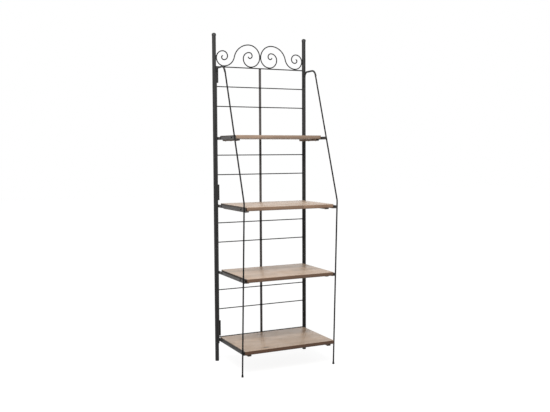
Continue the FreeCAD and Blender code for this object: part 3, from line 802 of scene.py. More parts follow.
@dataclass(frozen=True)
class StainedBoard:
    """Edge-glued softwood staves under a satin stain, with knots, rubbed corners and browner edges with
    painted shade.

    A span is the two ends of an eased range. The knots' spans are in cells of the knot pattern, and those of
    the glue and butt lines in staves.
    """

    name: str
    centre: Vector
    # the edges' tint: a browner stain, with painted shade deepest on the lowest board and painted sheen on
    # the highest
    edge_stain_and_shade_tint: Colour
    seed: float
    light: Colour = (0.61, 0.445, 0.315)
    dark: Colour = (0.305, 0.203, 0.129)
    # the end faces' tint: darker end grain, with painted shade from the narrow gap beside the angle iron
    end_grain_and_shade_tint: Colour = (0.09, 0.075, 0.065)
    # painted shade along the lower part of the edges
    underside_shade_tint: Colour = (0.62, 0.58, 0.56)
    rubbed: Colour = (0.52, 0.42, 0.32)
    knot: Colour = (0.075, 0.045, 0.028)
    specular: float = 0.5
    roughness: Span = (0.3, 0.44)
    pore_roughness: float = 0.25
    relief_strength: float = 0.3
    relief_height: float = 0.25 * MM
    stave_width: float = 58 * MM
    stave_length: float = 410 * MM
    stave_tones: Span = (0.86, 1.1)
    stave_shift: Triple = (3.0, 0.09, 0.05)
    pith: Triple = (0.0, -0.045, 0.035)
    ring_spacing: float = 8.5 * MM
    contrast: float = 0.55
    knot_cells: Triple = (4.2, 9.5, 1.0)
    knot_chance: Span = (0.62, 0.6)
    knot_rim: Span = (0.085, 0.05)
    halo_rim: Span = (0.26, 0.05)
    knot_ragged: float = 0.05
    knot_depth: float = 0.85
    halo_depth: float = 0.45
    halo_swirl: float = 12 * MM
    glue_line: Span = (0.012, 0.004)
    butt_line: Span = (0.0022, 0.0008)
    seam_depth: float = 0.45
    seam_groove: float = 1.2
    # the heights below the board's middle where the edges' painted shade begins and where it is full
    underside_shade_heights: Span = (-3.5 * MM, -9.5 * MM)
    rub_reach: float = 2.4 * MM
    rub_amount: float = 0.62

    def lay_staves(self, graph: Graph, local: Socket) -> tuple[Socket, Socket, Node]:
        """Divide the board into staves.

        Args:
            graph: the material's graph.
            local: the place from the board's middle.

        Returns:
            The count of staves across, the count along, and a node with each stave's own chance.
        """
        parts = graph.parts(local)
        across = graph.maths("DIVIDE", parts["Y"], self.stave_width)
        row = graph.maths("ADD", graph.maths("FLOOR", across), self.seed)
        start = graph.add("TexWhiteNoise", {"noise_dimensions": "1D"}, W=row).outputs["Value"]
        along = graph.maths("ADD", graph.maths("DIVIDE", parts["X"], self.stave_length), start)
        stave = graph.add("CombineXYZ", X=graph.maths("FLOOR", along), Y=row, Z=self.seed).outputs[0]
        return across, along, graph.add("TexWhiteNoise", {"noise_dimensions": "3D"}, Vector=stave)

    def find_knots(self, graph: Graph, local: Socket, sawn: Socket) -> tuple[Socket, Socket]:
        """Scatter a few knots.

        Args:
            graph: the material's graph.
            local: the place from the board's middle.
            sawn: the place in the log that each stave is sawn from.

        Returns:
            The mask of the knots and the mask of the darker wood round them.
        """
        cells = graph.stretched(sawn, self.knot_cells)
        knots = graph.add("TexVoronoi", Vector=cells, Scale=1.0, Randomness=1.0).outputs
        present = graph.spread(graph.parts(knots["Color"])["X"], *self.knot_chance)
        ragged = graph.maths("SUBTRACT", graph.noise(local, scale=160.0), 0.5)
        near = graph.maths("ADD", knots["Distance"], graph.scaled(ragged, self.knot_ragged))
        knot = graph.scaled(graph.spread(near, *self.knot_rim), present)
        halo = graph.scaled(graph.spread(near, *self.halo_rim), present)
        return knot, halo

    def stain_edges(self, graph: Graph, top: Socket, local: Socket) -> tuple[Socket, Socket]:
        """Stain the edges browner and the ends darker, with painted shade, deepest towards the underside.

        Args:
            graph: the material's graph.
            top: the colour of the top.
            local: the place from the board's middle.

        Returns:
            The colour all over, and the mask of the end grain.
        """
        facing = graph.facing()
        side = graph.spread(graph.maths("ABSOLUTE", facing["Z"]), start=0.85, end=0.45)
        end = graph.spread(graph.maths("ABSOLUTE", facing["X"]), start=0.55, end=0.85)
        # painted shade: the edges darken towards the board's underside
        foot = graph.scaled(side, graph.spread(graph.parts(local)["Z"], *self.underside_shade_heights))
        # browner stain on the edges, with this board's painted shade and sheen
        colour = graph.blend(side, top, graph.product(top, self.edge_stain_and_shade_tint))
        colour = graph.blend(foot, colour, graph.product(colour, self.underside_shade_tint))
        # darker end grain with painted shade
        return graph.blend(end, colour, graph.product(top, self.end_grain_and_shade_tint)), end

    def material(self, effects: Effects) -> Material:
        """Build the material.

        Args:
            effects: the shared effects.

        Returns:
            The material.
        """
        material, graph, shader, place = new_finish(
            self.name, {"Metallic": 0.0, "Specular IOR Level": self.specular})
        local = graph.stretched(place, (1.0, 1.0, 1.0), tuple(-self.centre))
        across, along, chance = self.lay_staves(graph, local)
        shift = graph.vector("MULTIPLY", chance.outputs["Color"], self.stave_shift).outputs[0]
        sawn = graph.vector("ADD", graph.vector("ADD", local, shift).outputs[0], self.pith).outputs[0]
        knot, halo = self.find_knots(graph, local, sawn)
        swirl = graph.add("CombineXYZ", X=0.0, Y=graph.scaled(halo, self.halo_swirl), Z=0.0).outputs[0]
        figure = effects.wood.use(
            graph, Vector=graph.vector("ADD", sawn, swirl).outputs[0], Ring_Spacing=self.ring_spacing,
            Light=self.light, Dark=self.dark, Contrast=self.contrast)

        tone = graph.spread(chance.outputs["Value"], 0.0, 1.0, *self.stave_tones)
        colour = graph.product(figure["Colour"], graph.grey(tone))
        colour = graph.blend(graph.scaled(halo, self.halo_depth), colour, self.dark)
        colour = graph.blend(graph.scaled(knot, self.knot_depth), colour, self.knot)
        glue, butt = (graph.spread(graph.maths("PINGPONG", count, 0.5), *line)
                      for count, line in ((across, self.glue_line), (along, self.butt_line)))
        seam = graph.maths("MAXIMUM", glue, butt)
        colour = graph.blend(graph.scaled(seam, self.seam_depth), colour, self.dark)
        colour, end = self.stain_edges(graph, colour, local)
        rub = effects.edges.use(graph, Vector=place, Reach=self.rub_reach, Amount=self.rub_amount)["Mask"]
        graph.put(shader["Base Color"], graph.blend(worn_wood(graph, rub, end), colour, self.rubbed))

        clouds = graph.noise(local, scale=9.0, detail=4.0, rough=0.6)
        rough = graph.spread(clouds, *CLOUDED, *self.roughness)
        open_grain = graph.scaled(figure["Pores"], self.pore_roughness)
        graph.put(shader["Roughness"], graph.maths("ADD", rough, open_grain, clamp=True))
        height = graph.maths("SUBTRACT", figure["Height"], graph.scaled(seam, self.seam_groove))
        graph.put(shader["Normal"], graph.bump(height, self.relief_strength, self.relief_height))
        return material


@dataclass(frozen=True)
class StainedBatten:
    """Sawn softwood under a dark stain, with its grain from back to front, and darker end grain with painted
    shade.
    """

    name: str
    light: Colour = (0.50, 0.385, 0.30)
    dark: Colour = (0.28, 0.205, 0.155)
    rubbed: Colour = (0.55, 0.44, 0.35)
    # the end faces' tint: darker end grain, with painted shade on the front ends under the board
    end_grain_and_shade_tint: Colour = (0.1, 0.088, 0.08)
    specular: float = 0.3
    roughness: Span = (0.52, 0.7)
    relief_strength: float = 0.4
    relief_height: float = 0.3 * MM
    relief_range: Span = (0.0, 1.2)
    ring_spacing: float = 5 * MM
    contrast: float = 0.7
    rub_reach: float = 1.4 * MM
    rub_amount: float = 0.55

    def material(self, effects: Effects) -> Material:
        """Build the material.

        Args:
            effects: the shared effects.

        Returns:
            The material.
        """
        material, graph, shader, place = new_finish(
            self.name, {"Metallic": 0.0, "Specular IOR Level": self.specular})
        crosswise = graph.add("Mapping", Vector=place, Rotation=(0.0, 0.0, math.radians(90))).outputs[0]
        figure = effects.wood.use(graph, Vector=crosswise, Ring_Spacing=self.ring_spacing, Light=self.light,
                                  Dark=self.dark, Contrast=self.contrast)
        end = graph.spread(graph.maths("ABSOLUTE", graph.facing()["Y"]), start=0.45, end=0.75)
        # darker end grain with painted shade
        colour = graph.blend(end, figure["Colour"], graph.product(figure["Colour"], self.end_grain_and_shade_tint))
        rub = effects.edges.use(graph, Vector=place, Reach=self.rub_reach, Amount=self.rub_amount)["Mask"]
        graph.put(shader["Base Color"], graph.blend(worn_wood(graph, rub, end), colour, self.rubbed))
        graph.put(shader["Roughness"], graph.spread(figure["Height"], *self.relief_range, *self.roughness))
        graph.put(shader["Normal"], graph.bump(figure["Height"], self.relief_strength, self.relief_height))
        return material


@dataclass
class Finishes:
    """Every finish on the rack, built once."""

    effects: Effects = field(default_factory=Effects)
    board_seed_step: int = 7
    frame: Material = field(init=False)
    thin: Material = field(init=False)
    flat: Material = field(init=False)
    low_flat: Material = field(init=False)
    peg: Material = field(init=False)
    pin: Material = field(init=False)
    screw: Material = field(init=False)
    plug: Material = field(init=False)
    tip: Material = field(init=False)
    cleat: Material = field(init=False)

    def __post_init__(self) -> None:
        """Build the materials."""
        recipes = {
            "frame": CoatedSteel("charcoal_powder_coat", (0.02, 0.0196, 0.0192), (0.028, 0.0275, 0.027),
                                 specular=0.25, dustiness=0.1),
            # a darker copy of the frame's coat for the rods, rails, scrolls and front rods: painted shade
            "thin": CoatedSteel("charcoal_coat_on_rods", (0.008, 0.0079, 0.0078), (0.012, 0.0118, 0.0115),
                                roughness=(0.55, 0.7), specular=0.12, dustiness=0.05),
            # a paler copy of the frame's coat for the upper angle irons and the centre bar: painted light on
            # their flat faces
            "flat": CoatedSteel("charcoal_coat_on_flats", (0.058, 0.052, 0.05), (0.076, 0.068, 0.065),
                                roughness=(0.4, 0.54), specular=0.5, wear=0.45),
            # a darker copy of the flats' coat for the lowest angle irons: painted shade near the floor
            "low_flat": CoatedSteel("charcoal_coat_on_lowest_flats", (0.022, 0.0205, 0.02),
                                    (0.034, 0.0315, 0.03), roughness=(0.45, 0.6), specular=0.3, wear=0.4),
            "peg": CoatedSteel("black_peg_paint", (0.004, 0.004, 0.004), (0.006, 0.006, 0.006),
                               roughness=(0.6, 0.75), specular=0.06, dustiness=0.0),
            "pin": CoatedSteel("satin_black_pin", (0.014, 0.014, 0.014), (0.02, 0.02, 0.02),
                               roughness=(0.3, 0.42), wear=0.6, specular=0.5),
            "screw": PlatedSteel("dull_zinc", (0.46, 0.45, 0.42), (0.24, 0.23, 0.21)),
            "plug": SoftMoulding("black_moulded_plug", (0.016, 0.016, 0.016), (0.09, 0.088, 0.084),
                                 roughness=(0.42, 0.58), specular=0.4, dustiness=0.3),
            "tip": SoftMoulding("black_rubber", (0.014, 0.0138, 0.0135), (0.11, 0.105, 0.098),
                                roughness=(0.68, 0.85), specular=0.25, dustiness=0.25, pebbles=1200.0),
            "cleat": StainedBatten("dark_stained_batten"),
        }
        for use, recipe in recipes.items():
            setattr(self, use, recipe.material(self.effects))

    def board(self, number: int, centre: Vector, edge_stain_and_shade_tint: Colour) -> Material:
        """Build the material of one board, whose edges carry a browner stain with painted shade and sheen for
        its height.
        """
        seed = float(self.board_seed_step * number)
        return StainedBoard(f"stained_board_{number}", centre, edge_stain_and_shade_tint, seed).material(self.effects)


# ---------------------------------------------------------------------------------------------------------
# Welds and heads
# ---------------------------------------------------------------------------------------------------------


@dataclass
class Welder:
    """Lays weld beads, as rings round a bar's end and as dabs in a corner, and keeps them as one piece.

    Lifts and wavers are shares of the bead's radius.
    """

    name: str
    finish: Material
    ring_bead: float = 1.1 * MM
    ring_sides: int = 20
    bead_sides: int = 6
    ring_lift: float = 0.25
    ring_waver: float = 0.28
    ring_ease: float = 0.35
    ring_seed: int = 1
    dab_bead: float = 1.3 * MM
    dab_sides: int = 10
    dab_cuts: int = 2
    dab_waver: float = 0.3
    dab_ease: float = 0.5
    dab_seed: int = 5
    crease: float = 80
    beads: list[Piece] = field(default_factory=list)

    def ring(self, place: Vector, along: Vector, bar_radius: float) -> None:
        """Lay a ring where a bar meets something.

        Args:
            place: the middle of the joint.
            along: the bar's direction.
            bar_radius: the bar's radius.
        """
        clear_bench()
        bpy.ops.mesh.primitive_torus_add(
            major_segments=self.ring_sides, minor_segments=self.bead_sides,
            major_radius=bar_radius + self.ring_lift * self.ring_bead, minor_radius=self.ring_bead)
        bead = bpy.context.object
        with shaping(bead, Part.VERTICES):
            bpy.ops.mesh.select_all(action="SELECT")
            bpy.ops.transform.vertex_random(
                offset=self.ring_waver * self.ring_bead, seed=len(self.beads) + self.ring_seed)
            bpy.ops.mesh.vertices_smooth(factor=self.ring_ease)
        bead.data.transform(aim(along, place))
        self.beads.append(bead)

    def dab(self, place: Vector, along: Vector, length: float) -> None:
        """Lay a short bead in the corner between two bars.

        Args:
            place: the middle of the bead.
            along: the bead's direction.
            length: its length.
        """
        clear_bench()
        bpy.ops.mesh.primitive_cylinder_add(
            vertices=self.dab_sides, radius=self.dab_bead, depth=length, end_fill_type="TRIFAN")
        bead = bpy.context.object
        with shaping(bead, Part.VERTICES):
            bpy.ops.mesh.select_all(action="SELECT")
            bpy.ops.mesh.subdivide(number_cuts=self.dab_cuts, smoothness=0.0)
            bpy.ops.mesh.select_all(action="SELECT")
            bpy.ops.transform.vertex_random(
                offset=self.dab_waver * self.dab_bead, seed=len(self.beads) + self.dab_seed)
            bpy.ops.mesh.vertices_smooth(factor=self.dab_ease, repeat=2)
        bead.data.transform(aim(along, place))
        self.beads.append(bead)

    def finish_beads(self) -> Piece:
        """Join the beads, which are all on the frame, and finish them.

        Returns:
            The welds.
        """
        welds = smooth(joined(self.name, self.beads), self.crease)
        with shaping(welds, Part.FACES):
            bpy.ops.mesh.select_all(action="SELECT")
            bpy.ops.mesh.normals_make_consistent(inside=False)
        return fit(welds, "frame", Slot.FRAME, self.finish)


@dataclass(frozen=True)
class RoundHead:
    """A short shank under a rimmed, domed head, as a peg and a screw have."""

    shank: float
    sunk: float
    radius: float
    rise: float
    rim: float
    ease: float
    dome_steps: int
    flat: float
    sides: int

    def pattern(self, name: str) -> Piece:
        """Turn one along +Z, with the seat of its head at the origin.

        Args:
            name: the pattern's name.

        Returns:
            The pattern.
        """
        profile = [(self.shank, -self.sunk), (self.shank, 0.0), (self.radius - self.ease, 0.0),
                   (self.radius, self.ease), (self.radius, self.rim)]
        profile += dome(self.radius, self.rise - self.rim, self.rim, self.dome_steps, self.flat)
        return turned(name, Vector(), profile, self.sides)


# ---------------------------------------------------------------------------------------------------------
# Sub-assemblies
# ---------------------------------------------------------------------------------------------------------


@dataclass
class BackFrame:
    """The two posts with their caps and feet, the rails, thin rods, centre bar and scrolls, and their welds.

    A scroll stands on the top rail, foot_reach from its outer edge and belly_reach from its inner one. It
    meets the post and the other scroll at post_touch and middle_touch above its lowest edge.
    """

    finishes: Finishes
    rod_count: int = 8
    rod_radius: float = 2.75 * MM
    rail_radius: float = 3.0 * MM
    foot_reach: float = 46 * MM
    belly_reach: float = 54.5 * MM
    post_touch: float = 46 * MM
    middle_touch: float = 57.5 * MM
    weld_lean: float = 1.6 * MM
    scroll_weld: float = 9 * MM
    ring_inset: float = 0.5 * MM
    bar_weld: float = 4 * MM
    bar_weld_gap: float = 0.2 * MM
    cap_fit: float = 0.1 * MM
    cap_roof: float = 3.0 * MM
    cap_ease: float = 0.35 * MM
    cap_shoulder: float = 0.4
    cap_dome_steps: int = 9
    cap_flat: float = 0.6 * MM
    foot_round: float = 1.2 * MM
    foot_arc_steps: int = 5
    foot_neck: Profile = ((0.0, -0.5 * MM), (0.3 * MM, -0.2 * MM), (0.3 * MM, 0.0), (2.2 * MM, 0.0),
                          (2.2 * MM, 12 * MM))
    sides: int = 48
    crease: float = 35

    def dress_steel(self) -> list[Piece]:
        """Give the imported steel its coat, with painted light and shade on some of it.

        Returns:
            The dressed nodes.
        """
        thin = [f"back_rod_{number}" for number in range(1, self.rod_count + 1)]
        thin += ["top_rail", "bottom_rail", "scroll_left", "scroll_right"]
        return [*dress(self.finishes.frame, "back_post_left", "back_post_right"),
                *dress(self.finishes.thin, *thin), *dress(self.finishes.flat, "centre_bar")]

    def make_cap(self, side: Side) -> Piece:
        """Turn a post's domed cap, whose skirt slips over the tube, with its edges eased.

        Args:
            side: the post's side.

        Returns:
            The cap.
        """
        node = f"post_cap_{side.word}"
        post_low, post_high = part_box(f"back_post_{side.word}")
        low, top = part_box(node)
        bore = (post_high.x - post_low.x) / 2 + self.cap_fit
        radius = (top.x - low.x) / 2
        shoulder = radius - self.cap_shoulder * self.cap_ease
        base = Vector((*middle_of(node).xy, post_high.z))
        skirt, rise = post_high.z - low.z, top.z - post_high.z - self.cap_roof
        profile = [(bore, 0.0), (bore, -skirt), (radius - self.cap_ease, -skirt),
                   (radius, self.cap_ease - skirt), (radius, self.cap_roof - self.cap_ease),
                   (shoulder, self.cap_roof)]
        profile += dome(shoulder, rise, self.cap_roof, self.cap_dome_steps, self.cap_flat)
        cap = smooth(turned(f"domed_cap_{side.word}", base, profile, self.sides), self.crease)
        return fit(cap, "frame", Slot.PLUG, self.finishes.plug, node)

    def make_foot(self, side: Side) -> Piece:
        """Turn a post's foot plug, rounded where it stands on the floor and necked inside the tube.

        Args:
            side: the post's side.

        Returns:
            The plug.
        """
        node = f"post_foot_{side.word}"
        low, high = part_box(node)
        radius = (high.x - low.x) / 2
        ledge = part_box(f"back_post_{side.word}")[0].z
        base = Vector((*middle_of(node).xy, 0.0))
        angles = [math.radians(90 / self.foot_arc_steps * step) for step in range(self.foot_arc_steps + 1)]
        profile = [(radius - self.foot_round * (1 - math.sin(angle)), self.foot_round * (1 - math.cos(angle)))
                   for angle in angles]
        profile += [(radius - inset, ledge + rise) for inset, rise in self.foot_neck]
        foot = smooth(turned(f"plug_foot_{side.word}", base, profile, self.sides), self.crease)
        return fit(foot, "frame", Slot.PLUG, self.finishes.plug, node)

    def weld_bars(self, welder: Welder) -> None:
        """Lay beads where rods and rails meet the posts and the centre bar.

        Args:
            welder: the welder that keeps them.
        """
        bars = [(f"back_rod_{number}", self.rod_radius) for number in range(1, self.rod_count + 1)]
        bars += [("top_rail", self.rail_radius), ("bottom_rail", self.rail_radius)]
        bar_low, bar_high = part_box("centre_bar")
        for node, radius in bars:
            low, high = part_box(node)
            middle = middle_of(node)
            for end, inward in ((low.x, 1), (high.x, -1)):
                welder.ring(Vector((end + inward * self.ring_inset, middle.y, middle.z)), ACROSS, radius)
            for edge in (bar_low.x, bar_high.x):
                welder.dab(Vector((edge, bar_low.y - self.bar_weld_gap, middle.z)), ACROSS, self.bar_weld)

    def weld_scrolls(self, welder: Welder) -> None:
        """Lay pairs of beads where the scrolls stand on the top rail and meet the posts and each other.

        Args:
            welder: the welder that keeps them.
        """
        rail = middle_of("top_rail")
        leans = [rail.y + lean * self.weld_lean for lean in (-1, 1)]
        for side in Side:
            low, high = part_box(f"scroll_{side.word}")
            outer, inner = (high.x, low.x) if side is Side.RIGHT else (low.x, high.x)
            seat = (low.z + rail.z + self.rail_radius) / 2
            for across in (outer - side.value * self.foot_reach, inner + side.value * self.belly_reach):
                for depth in leans:
                    welder.dab(Vector((across, depth, seat)), ACROSS, self.scroll_weld)
            for depth in leans:
                welder.dab(Vector((outer, depth, low.z + self.post_touch)), UP, self.scroll_weld)
        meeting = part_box("scroll_left")[0].z + self.middle_touch
        for depth in leans:
            welder.dab(Vector((0, depth, meeting)), UP, self.scroll_weld)

    def weld_up(self) -> Piece:
        """Lay the back frame's beads.

        Returns:
            The welds.
        """
        welder = Welder("back_frame_welds", self.finishes.frame)
        self.weld_bars(welder)
        self.weld_scrolls(welder)
        return welder.finish_beads()

    def build(self) -> list[Piece]:
        """Build the back frame and return its pieces."""
        ends = [make(side) for side in Side for make in (self.make_cap, self.make_foot)]
        return [*self.dress_steel(), *ends, self.weld_up()]


@dataclass
class SideFrame:
    """One end of the rack: upright and arm, front rod with its rubber tip, angle irons, pegs and hinges.

    In depth and height, arm_end is where the front rod meets the arm, and arm_slope which way it runs there.
    An iron's rear_welds count from the upright's back and its front_welds from its own front. The tip's
    profiles give how far inside the wall each step lies, and how far above or below the profile's start.
    """

    finishes: Finishes
    side: Side
    shelves: Sequence[int] = (1, 2, 3, 4)
    rod_radius: float = 4.0 * MM
    upright_radius: float = 5.0 * MM
    hinge_middles: Sequence[float] = (186.5 * MM, 939.5 * MM, 1576.5 * MM)
    hinge_weld: float = 20 * MM
    hinge_notch: float = 2.4 * MM
    arm_end: Span = (41.3 * MM, 1578.6 * MM)
    arm_slope: Span = (248.8, 711.5)
    rear_welds: Span = (0.3 * MM, 9.7 * MM)
    rear_weld_out: float = 0.9 * MM
    front_welds: Span = (7.0 * MM, 0.4 * MM)
    front_weld_out: float = 0.8 * MM
    weld_share: float = 0.8
    tip_sole: Profile = ((1.4 * MM, 0.0), (0.5 * MM, 0.25 * MM), (0.0, 1.0 * MM), (0.0, 2.2 * MM))
    tip_grip: Profile = ((0.35 * MM, 0.0), (0.35 * MM, 0.9 * MM), (0.0, 1.2 * MM), (0.0, 2.4 * MM))
    tip_lip: Profile = ((0.0, 1.0 * MM), (0.0, 0.4 * MM), (0.4 * MM, 0.0))
    tip_neck: float = 4.7 * MM
    grip_count: int = 3
    grip_pitch: float = 3.0 * MM
    grip_foot: float = 2.6 * MM
    grip_level: float = 3.2 * MM
    grip_inset: float = 0.15 * MM
    tip_sides: int = 40
    tip_crease: float = 32
    peg: RoundHead = RoundHead(shank=2.8 * MM, sunk=2.4 * MM, radius=4.75 * MM, rise=3.0 * MM, rim=0.8 * MM,
                               ease=0.2 * MM, dome_steps=8, flat=0.5 * MM, sides=28)
    peg_crease: float = 35
    peg_cell: float = 100 * MM

    def named(self, stem: str) -> str:
        """Return a node's name on this side."""
        return f"{stem}_{self.side.word}"

    def dress_steel(self) -> list[Piece]:
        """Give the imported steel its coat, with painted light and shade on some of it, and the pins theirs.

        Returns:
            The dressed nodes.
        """
        lowest, *upper = (f"{self.named('angle_iron')}_{number}" for number in self.shelves)
        thick = [self.named(stem) for stem in ("hinge_post_barrels", "hinge_side_barrels", "side_upright")]
        return [*dress(self.finishes.frame, *thick), *dress(self.finishes.thin, self.named("front_rod")),
                *dress(self.finishes.low_flat, lowest), *dress(self.finishes.flat, *upper),
                *dress(self.finishes.pin, self.named("hinge_pins"))]

    def make_tip(self) -> Piece:
        """Turn the rubber tip: a flared skirt, three grip rings and a lip round the rod.

        Returns:
            The tip.
        """
        node = self.named("front_foot")
        low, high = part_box(node)
        radius, height = (high.x - low.x) / 2, high.z
        base = Vector((*middle_of(node).xy, 0.0))
        profile = [(radius - inset, rise) for inset, rise in self.tip_sole]
        for ring in range(self.grip_count):
            share = (self.grip_level + ring * self.grip_pitch) / height
            wall = radius + (self.tip_neck - radius) * share - self.grip_inset
            foot = self.grip_foot + ring * self.grip_pitch
            profile += [(wall - inset, foot + rise) for inset, rise in self.tip_grip]
        profile += [(self.tip_neck - inset, height - drop) for inset, drop in self.tip_lip]
        tip = smooth(turned(self.named("rubber_tip"), base, profile, self.tip_sides), self.tip_crease)
        return fit(tip, "frame", Slot.TIP, self.finishes.tip, node)

    def make_pegs(self) -> Piece:
        """Turn one peg with a rimmed, domed head, and copy it to its eight places.

        Returns:
            The pegs.
        """
        pattern = self.peg.pattern("peg_pattern")
        outward = Vector((self.side.value, 0, 0))
        pegs = [copied(pattern, aim(outward, place)) for place in self.peg_places()]
        scrap(pattern)
        pegs = smooth(joined(self.named("shelf_support_pegs"), pegs), self.peg_crease)
        return fit(pegs, "frame", Slot.PEG, self.finishes.peg, self.named("shelf_pegs"))

    def peg_places(self) -> list[Vector]:
        """Find where each peg's head stands on the angle irons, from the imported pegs' own points.

        Returns:
            The places.
        """
        face = self.side.value * max(abs(corner.x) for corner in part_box(f"{self.named('angle_iron')}_1"))
        heads: dict[tuple[int, int], list[Vector]] = {}
        for vertex in frame["nodes"][self.named("shelf_pegs")].data.vertices:
            point = vertex.co
            if abs(point.x) > abs(face) + 0.5 * self.peg.rise:
                cell = round(point.y / self.peg_cell), round(point.z / self.peg_cell)
                heads.setdefault(cell, []).append(point)
        return [Vector((face, sum(p.y for p in head) / len(head), sum(p.z for p in head) / len(head)))
                for head in heads.values()]

    def weld_hinges(self, welder: Welder) -> None:
        """Lay pairs of beads between the upright and its hinge barrels.

        Args:
            welder: the welder that keeps them.
        """
        upright_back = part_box(self.named("side_upright"))[1].y
        barrel = middle_of(self.named("hinge_side_barrels"))
        upright_x = middle_of(self.named("side_upright")).x
        upright = Vector((upright_x, upright_back - self.upright_radius, barrel.z))
        touch, across = (barrel + upright) / 2, (upright - barrel).normalized().cross(UP)
        for height in self.hinge_middles:
            for lean in (-1, 1):
                notch = touch + lean * self.hinge_notch * across
                welder.dab(Vector((notch.x, notch.y, height)), UP, self.hinge_weld)

    def weld_irons(self, welder: Welder) -> None:
        """Lay beads where each angle iron meets the upright and the front rod.

        Args:
            welder: the welder that keeps them.
        """
        sign = self.side.value
        upright_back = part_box(self.named("side_upright"))[1].y
        for number in self.shelves:
            low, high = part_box(f"{self.named('angle_iron')}_{number}")
            face = sign * max(abs(low.x), abs(high.x))
            middle, length = (low.z + high.z) / 2, (high.z - low.z) * self.weld_share
            for behind in self.rear_welds:
                place = Vector((face + sign * self.rear_weld_out, upright_back - behind, middle))
                welder.dab(place, UP, length)
            for ahead in self.front_welds:
                place = Vector((face + sign * self.front_weld_out, low.y + ahead, middle))
                welder.dab(place, UP, length * self.weld_share)

    def weld_up(self) -> Piece:
        """Lay the side frame's beads: at the arm's joint, along the hinge barrels and at each angle iron.

        Returns:
            The welds.
        """
        welder = Welder(self.named("side_frame_welds"), self.finishes.frame)
        joint = Vector((middle_of(self.named("front_rod")).x, *self.arm_end))
        welder.ring(joint, Vector((0, *self.arm_slope)).normalized(), self.rod_radius)
        self.weld_hinges(welder)
        self.weld_irons(welder)
        return welder.finish_beads()

    def build(self) -> list[Piece]:
        """Build the side frame and return its pieces."""
        return [*self.dress_steel(), self.make_tip(), self.make_pegs(), self.weld_up()]


@dataclass
class Shelf:
    """One loose shelf: a board, two cleats under it and the screws that hold them."""

    finishes: Finishes
    number: int
    # the edges' tint: a browner stain, with painted shade and sheen for the shelf's height
    edge_stain_and_shade_tint: Colour
    corner_round: float = 10.0 * MM
    corner_steps: int = 10
    edge_round: float = 1.6 * MM
    edge_steps: int = 3
    chamfer: float = 3.0 * MM
    arris: float = 0.6 * MM
    arris_steps: int = 2
    crease: float = 30
    screw: RoundHead = RoundHead(shank=2.0 * MM, sunk=3.0 * MM, radius=4.0 * MM, rise=2.4 * MM, rim=0.7 * MM,
                                 ease=0.25 * MM, dome_steps=6, flat=1.0 * MM, sides=24)
    recess_width: float = 1.1 * MM
    recess_length: float = 4.6 * MM
    recess_depth: float = 1.3 * MM
    recess_clear: float = 1.0 * MM
    screw_turn: float = 25
    turn_by_row: float = 37
    turn_by_side: float = 20

    @property
    def body(self) -> str:
        """Return the body the shelf rides on."""
        return f"shelf_{self.number}"

    def make_board(self) -> Piece:
        """Make the board, with rounded corners and eased edges.

        Returns:
            The board.
        """
        node = f"shelf_board_{self.number}"
        board = block(f"board_{self.number}", *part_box(node))
        with shaping(board):
            pick_edges(board, lambda one, two: abs(one.z - two.z) > NEAR)
            bpy.ops.mesh.bevel(offset=self.corner_round, segments=self.corner_steps, affect="EDGES")
        with shaping(board):
            pick_edges(board, lambda one, two: abs(one.z - two.z) < NEAR)
            bpy.ops.mesh.bevel(offset=self.edge_round, segments=self.edge_steps, affect="EDGES")
        finish = self.finishes.board(self.number, middle_of(node), self.edge_stain_and_shade_tint)
        return fit(smooth(board, self.crease), self.body, Slot.BOARD, finish, node)

    def make_cleat(self, side: Side) -> Piece:
        """Make a cleat, with chamfered lower ends and eased edges.

        Args:
            side: the end of the shelf that it is under.

        Returns:
            The cleat.
        """
        node = f"shelf_cleat_{side.word}_{self.number}"
        low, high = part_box(node)
        cleat = block(f"cleat_{side.word}_{self.number}", low, high)
        with shaping(cleat):
            pick_edges(cleat, lambda one, two: abs(one.x - two.x) > NEAR and max(one.z, two.z) < low.z + NEAR)
            bpy.ops.mesh.bevel(offset=self.chamfer, segments=1, affect="EDGES")
        with shaping(cleat):
            pick_edges(cleat, lambda one, two: min(one.z, two.z) < high.z - NEAR)
            bpy.ops.mesh.bevel(offset=self.arris, segments=self.arris_steps, affect="EDGES")
        return fit(smooth(cleat, self.crease), self.body, Slot.CLEAT, self.finishes.cleat, node)

    def screw_pattern(self) -> Piece:
        """Turn one pan-head screw and cut its cross recess.

        Returns:
            The screw, along +Z with the seat of its head at the origin.
        """
        pattern = self.screw.pattern("screw_pattern")
        long, short = self.recess_length / 2, self.recess_width / 2
        floor, above = self.screw.rise - self.recess_depth, self.screw.rise + self.recess_clear
        for across, ahead in ((long, short), (short, long)):
            cutter = block("recess_cutter", Vector((-across, -ahead, floor)), Vector((across, ahead, above)))
            take(pattern)
            cut = pattern.modifiers.new("recess", "BOOLEAN")
            cut.operation, cut.object, cut.solver = "DIFFERENCE", cutter, "EXACT"
            bpy.ops.object.modifier_apply(modifier=cut.name)
            scrap(cutter)
        return pattern

    def make_screws(self) -> Piece:
        """Make one screw, and copy it to its six places, each turned its own way.

        Returns:
            The screws.
        """
        node = f"cleat_screws_{self.number}"
        pattern = self.screw_pattern()
        low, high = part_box(node)
        first, last = low.y + self.screw.radius, high.y - self.screw.radius
        screws = []
        for side in Side:
            cleat = f"shelf_cleat_{side.word}_{self.number}"
            for row, depth in enumerate((first, (first + last) / 2, last)):
                seat = Vector((middle_of(cleat).x, depth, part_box(cleat)[0].z))
                turn = self.screw_turn + self.turn_by_row * row + self.turn_by_side * side.value
                screws.append(copied(pattern, aim(-UP, seat) @ Matrix.Rotation(math.radians(turn), 4, "Z")))
        scrap(pattern)
        screws = smooth(joined(f"cleat_screw_heads_{self.number}", screws), self.crease)
        return fit(screws, self.body, Slot.SCREW, self.finishes.screw, node)

    def build(self) -> list[Piece]:
        """Build the shelf and return its pieces."""
        return [self.make_board(), *(self.make_cleat(side) for side in Side), self.make_screws()]


# ---------------------------------------------------------------------------------------------------------
# Studio
# ---------------------------------------------------------------------------------------------------------


